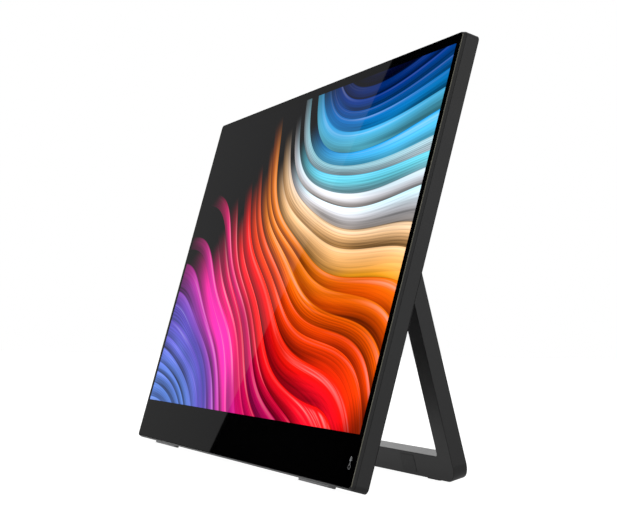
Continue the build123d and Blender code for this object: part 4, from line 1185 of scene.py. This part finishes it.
class MONITOR_OT_studio(bpy.types.Operator):
    """Set up the camera, the floor, the white walls and the panels that the glass reflects."""

    bl_idname = "monitor.studio"
    bl_label = "Studio"

    # Where the side walls begin and how fast their light rises, and that of the wall behind.
    SIDE_START, SIDE_RISE, SIDE_BLEND = 0.45, 2.2, 0.2
    BACK_RISE = 1.6

    # Floor light in millimetres: ahead of the object, to its right, behind it and between sides.
    APRON_AHEAD = (36, 54)
    APRON_RIGHT = (190, 100)
    BEHIND = (70, 260)
    BEHIND_SIDES = (185, 140)

    # Ends of the gloss edge on the display's face, and the width of the lit panel beside it.
    SHEEN_TOP = Vector((0.0972, 0.1959, 0))
    SHEEN_FOOT = Vector((-0.0254, -0.0244, 0))
    SHEEN_WIDTH = Vector((0.6, 0, 0))
    CARD = ((-0.6, -0.3, 0), (0.5, -0.3, 0), (0.5, 0.6, 0), (-0.6, 0.6, 0))
    SHEEN_REACH, CARD_REACH = 2.4, 2.6

    def execute(self, context):
        studio = context.scene.monitor_studio
        self.place_camera(context.scene, studio)
        self.light_walls(context.scene, studio)
        self.lay_floor(studio)
        self.hang_panels(studio)
        context.scene.view_settings.view_transform = "Standard"
        return {"FINISHED"}

    def place_camera(self, scene, studio):
        lens = bpy.data.cameras.new("camera")
        lens.lens = studio.lens
        lens.shift_x = studio.shift_across
        lens.shift_y = studio.shift_up
        lens.clip_start = 0.01
        camera = bpy.data.objects.new("camera", lens)
        camera.location = studio.camera
        turn = Matrix.Rotation(studio.azimuth, 3, "Z")
        turn @= Matrix.Rotation(math.radians(90) + studio.pitch, 3, "X")
        turn @= Matrix.Rotation(studio.roll, 3, "Z")
        camera.rotation_euler = turn.to_euler()
        scene.collection.objects.link(camera)
        scene.camera = camera

    def light_walls(self, scene, studio):
        world = bpy.data.worlds.new("studio_walls")
        world.use_nodes = True
        walls = Tree(world.node_tree)
        walls.tree.nodes.clear()
        direction = walls.node("ShaderNodeTexCoord", output="Generated")
        back = walls.reach(direction, (0, 0.5, 0)) + 0.5
        left = walls.reach(direction, (-1, 0, 0))
        aside = walls.larger(walls.size_of(left) - self.SIDE_START, 0) * self.SIDE_RISE
        aside = walls.maths("SMOOTH_MIN", aside, 1, self.SIDE_BLEND)
        back = walls.maths("MINIMUM", back * self.BACK_RISE, 1)
        strength = studio.front + (1 - studio.front) * back
        strength = strength * (studio.between + (1 - studio.between) * aside)
        strength = strength * (1 + studio.left * walls.larger(left, 0)) * studio.sky
        strength = strength + (1 - strength) * walls.camera_ray()
        wall = walls.node("ShaderNodeBackground", {}, {"Color": WHITE, "Strength": strength})
        walls.node("ShaderNodeOutputWorld", {}, {"Surface": wall})
        scene.world = world

    def lay_floor(self, studio):
        shape = bmesh.new()
        radius = studio.floor_radius
        bmesh.ops.create_circle(shape, cap_ends=True, segments=96, radius=radius)
        finish = Finish("lit_floor")
        x, y = finish.reach(finish.place, RIGHT), finish.reach(finish.place, (0, 1, 0))
        base = finish.mix(finish.noise(0.004), studio.floor, tint(studio.floor, 1.02))
        ahead = finish.step(0 - y, *self.APRON_AHEAD) * finish.step(x, *self.APRON_RIGHT)
        behind = finish.step(y, *self.BEHIND)
        behind = behind * finish.step(finish.size_of(x), *self.BEHIND_SIDES)
        glow = studio.under + studio.apron * ahead + studio.behind * behind
        glow = glow + (studio.table - glow) * finish.camera_ray()
        material = finish.surface(base, 0.95, glow=finish.grey(glow), strength=1.0)
        floor = add_object("floor", shape_mesh("floor", shape), material)

    def hang_panels(self, studio):
        """Black card, and a dim panel before it whose slanted edge crosses the glass."""
        camera = Vector(studio.camera)
        normal = -into_display
        mirrored = camera - 2 * normal.dot(camera - display.translation) * normal
        run = self.SHEEN_TOP - self.SHEEN_FOOT
        low, high = self.SHEEN_FOOT - run, self.SHEEN_TOP + run
        lit = (low, high, high - self.SHEEN_WIDTH, low - self.SHEEN_WIDTH)
        card = [Vector(corner) for corner in self.CARD]
        for name, outline, reach, light in (
            ("sheen_panel", lit, self.SHEEN_REACH, studio.sheen),
            ("black_card", card, self.CARD_REACH, 0.0),
        ):
            mesh = bpy.data.meshes.new(name)
            corners = [mirrored + reach * (display @ spot - mirrored) for spot in outline]
            mesh.from_pydata(corners, [], [(0, 1, 2, 3)])
            finish = Finish(name)
            lamp = finish.node("ShaderNodeEmission", {}, {"Color": WHITE, "Strength": light})
            finish.node("ShaderNodeOutputMaterial", {}, {"Surface": lamp})
            panel = add_object(name, mesh, finish.material)
            for kind in ("camera", "diffuse", "transmission", "shadow"):
                setattr(panel, f"visible_{kind}", False)


GROUPS = {
    "monitor_finishes": MONITOR_PG_finishes,
    "monitor_picture": MONITOR_PG_picture,
    "monitor_details": MONITOR_PG_details,
    "monitor_studio": MONITOR_PG_studio,
}
OPERATORS = (
    MONITOR_OT_glass,
    MONITOR_OT_housing,
    MONITOR_OT_stand,
    MONITOR_OT_feet,
    MONITOR_OT_layers,
    MONITOR_OT_boards,
    MONITOR_OT_sockets,
    MONITOR_OT_buttons,
    MONITOR_OT_hinges,
    MONITOR_OT_screws,
    MONITOR_OT_speakers,
    MONITOR_OT_dust_mesh,
    MONITOR_OT_signs,
    MONITOR_OT_studio,
)


class MONITOR_PT_panel(bpy.types.Panel):
    """Sidebar panel with one button for each step."""

    bl_idname = "MONITOR_PT_panel"
    bl_label = "Portable monitor"
    bl_space_type = "VIEW_3D"
    bl_region_type = "UI"
    bl_category = "Monitor"

    def draw(self, context):
        for operator in OPERATORS:
            self.layout.operator(operator.bl_idname)
        for group, kind in GROUPS.items():
            box = self.layout.box()
            for name in kind.__annotations__:
                box.prop(getattr(context.scene, group), name)


def register():
    for kind in (*GROUPS.values(), *OPERATORS, MONITOR_PT_panel):
        bpy.utils.register_class(kind)
    for name, kind in GROUPS.items():
        setattr(bpy.types.Scene, name, PointerProperty(type=kind))


def unregister():
    for name in GROUPS:
        delattr(bpy.types.Scene, name)
    for kind in (MONITOR_PT_panel, *reversed(OPERATORS), *GROUPS.values()):
        bpy.utils.unregister_class(kind)


def main():
    """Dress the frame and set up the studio."""
    register()
    for operator in OPERATORS:
        area, step = operator.bl_idname.split(".")
        getattr(getattr(bpy.ops, area), step)()
    plain = sorted(set(nodes) - dressed)
    if plain:
        raise RuntimeError(f"no finish for {plain}")


if __name__ == "__main__":
    main()
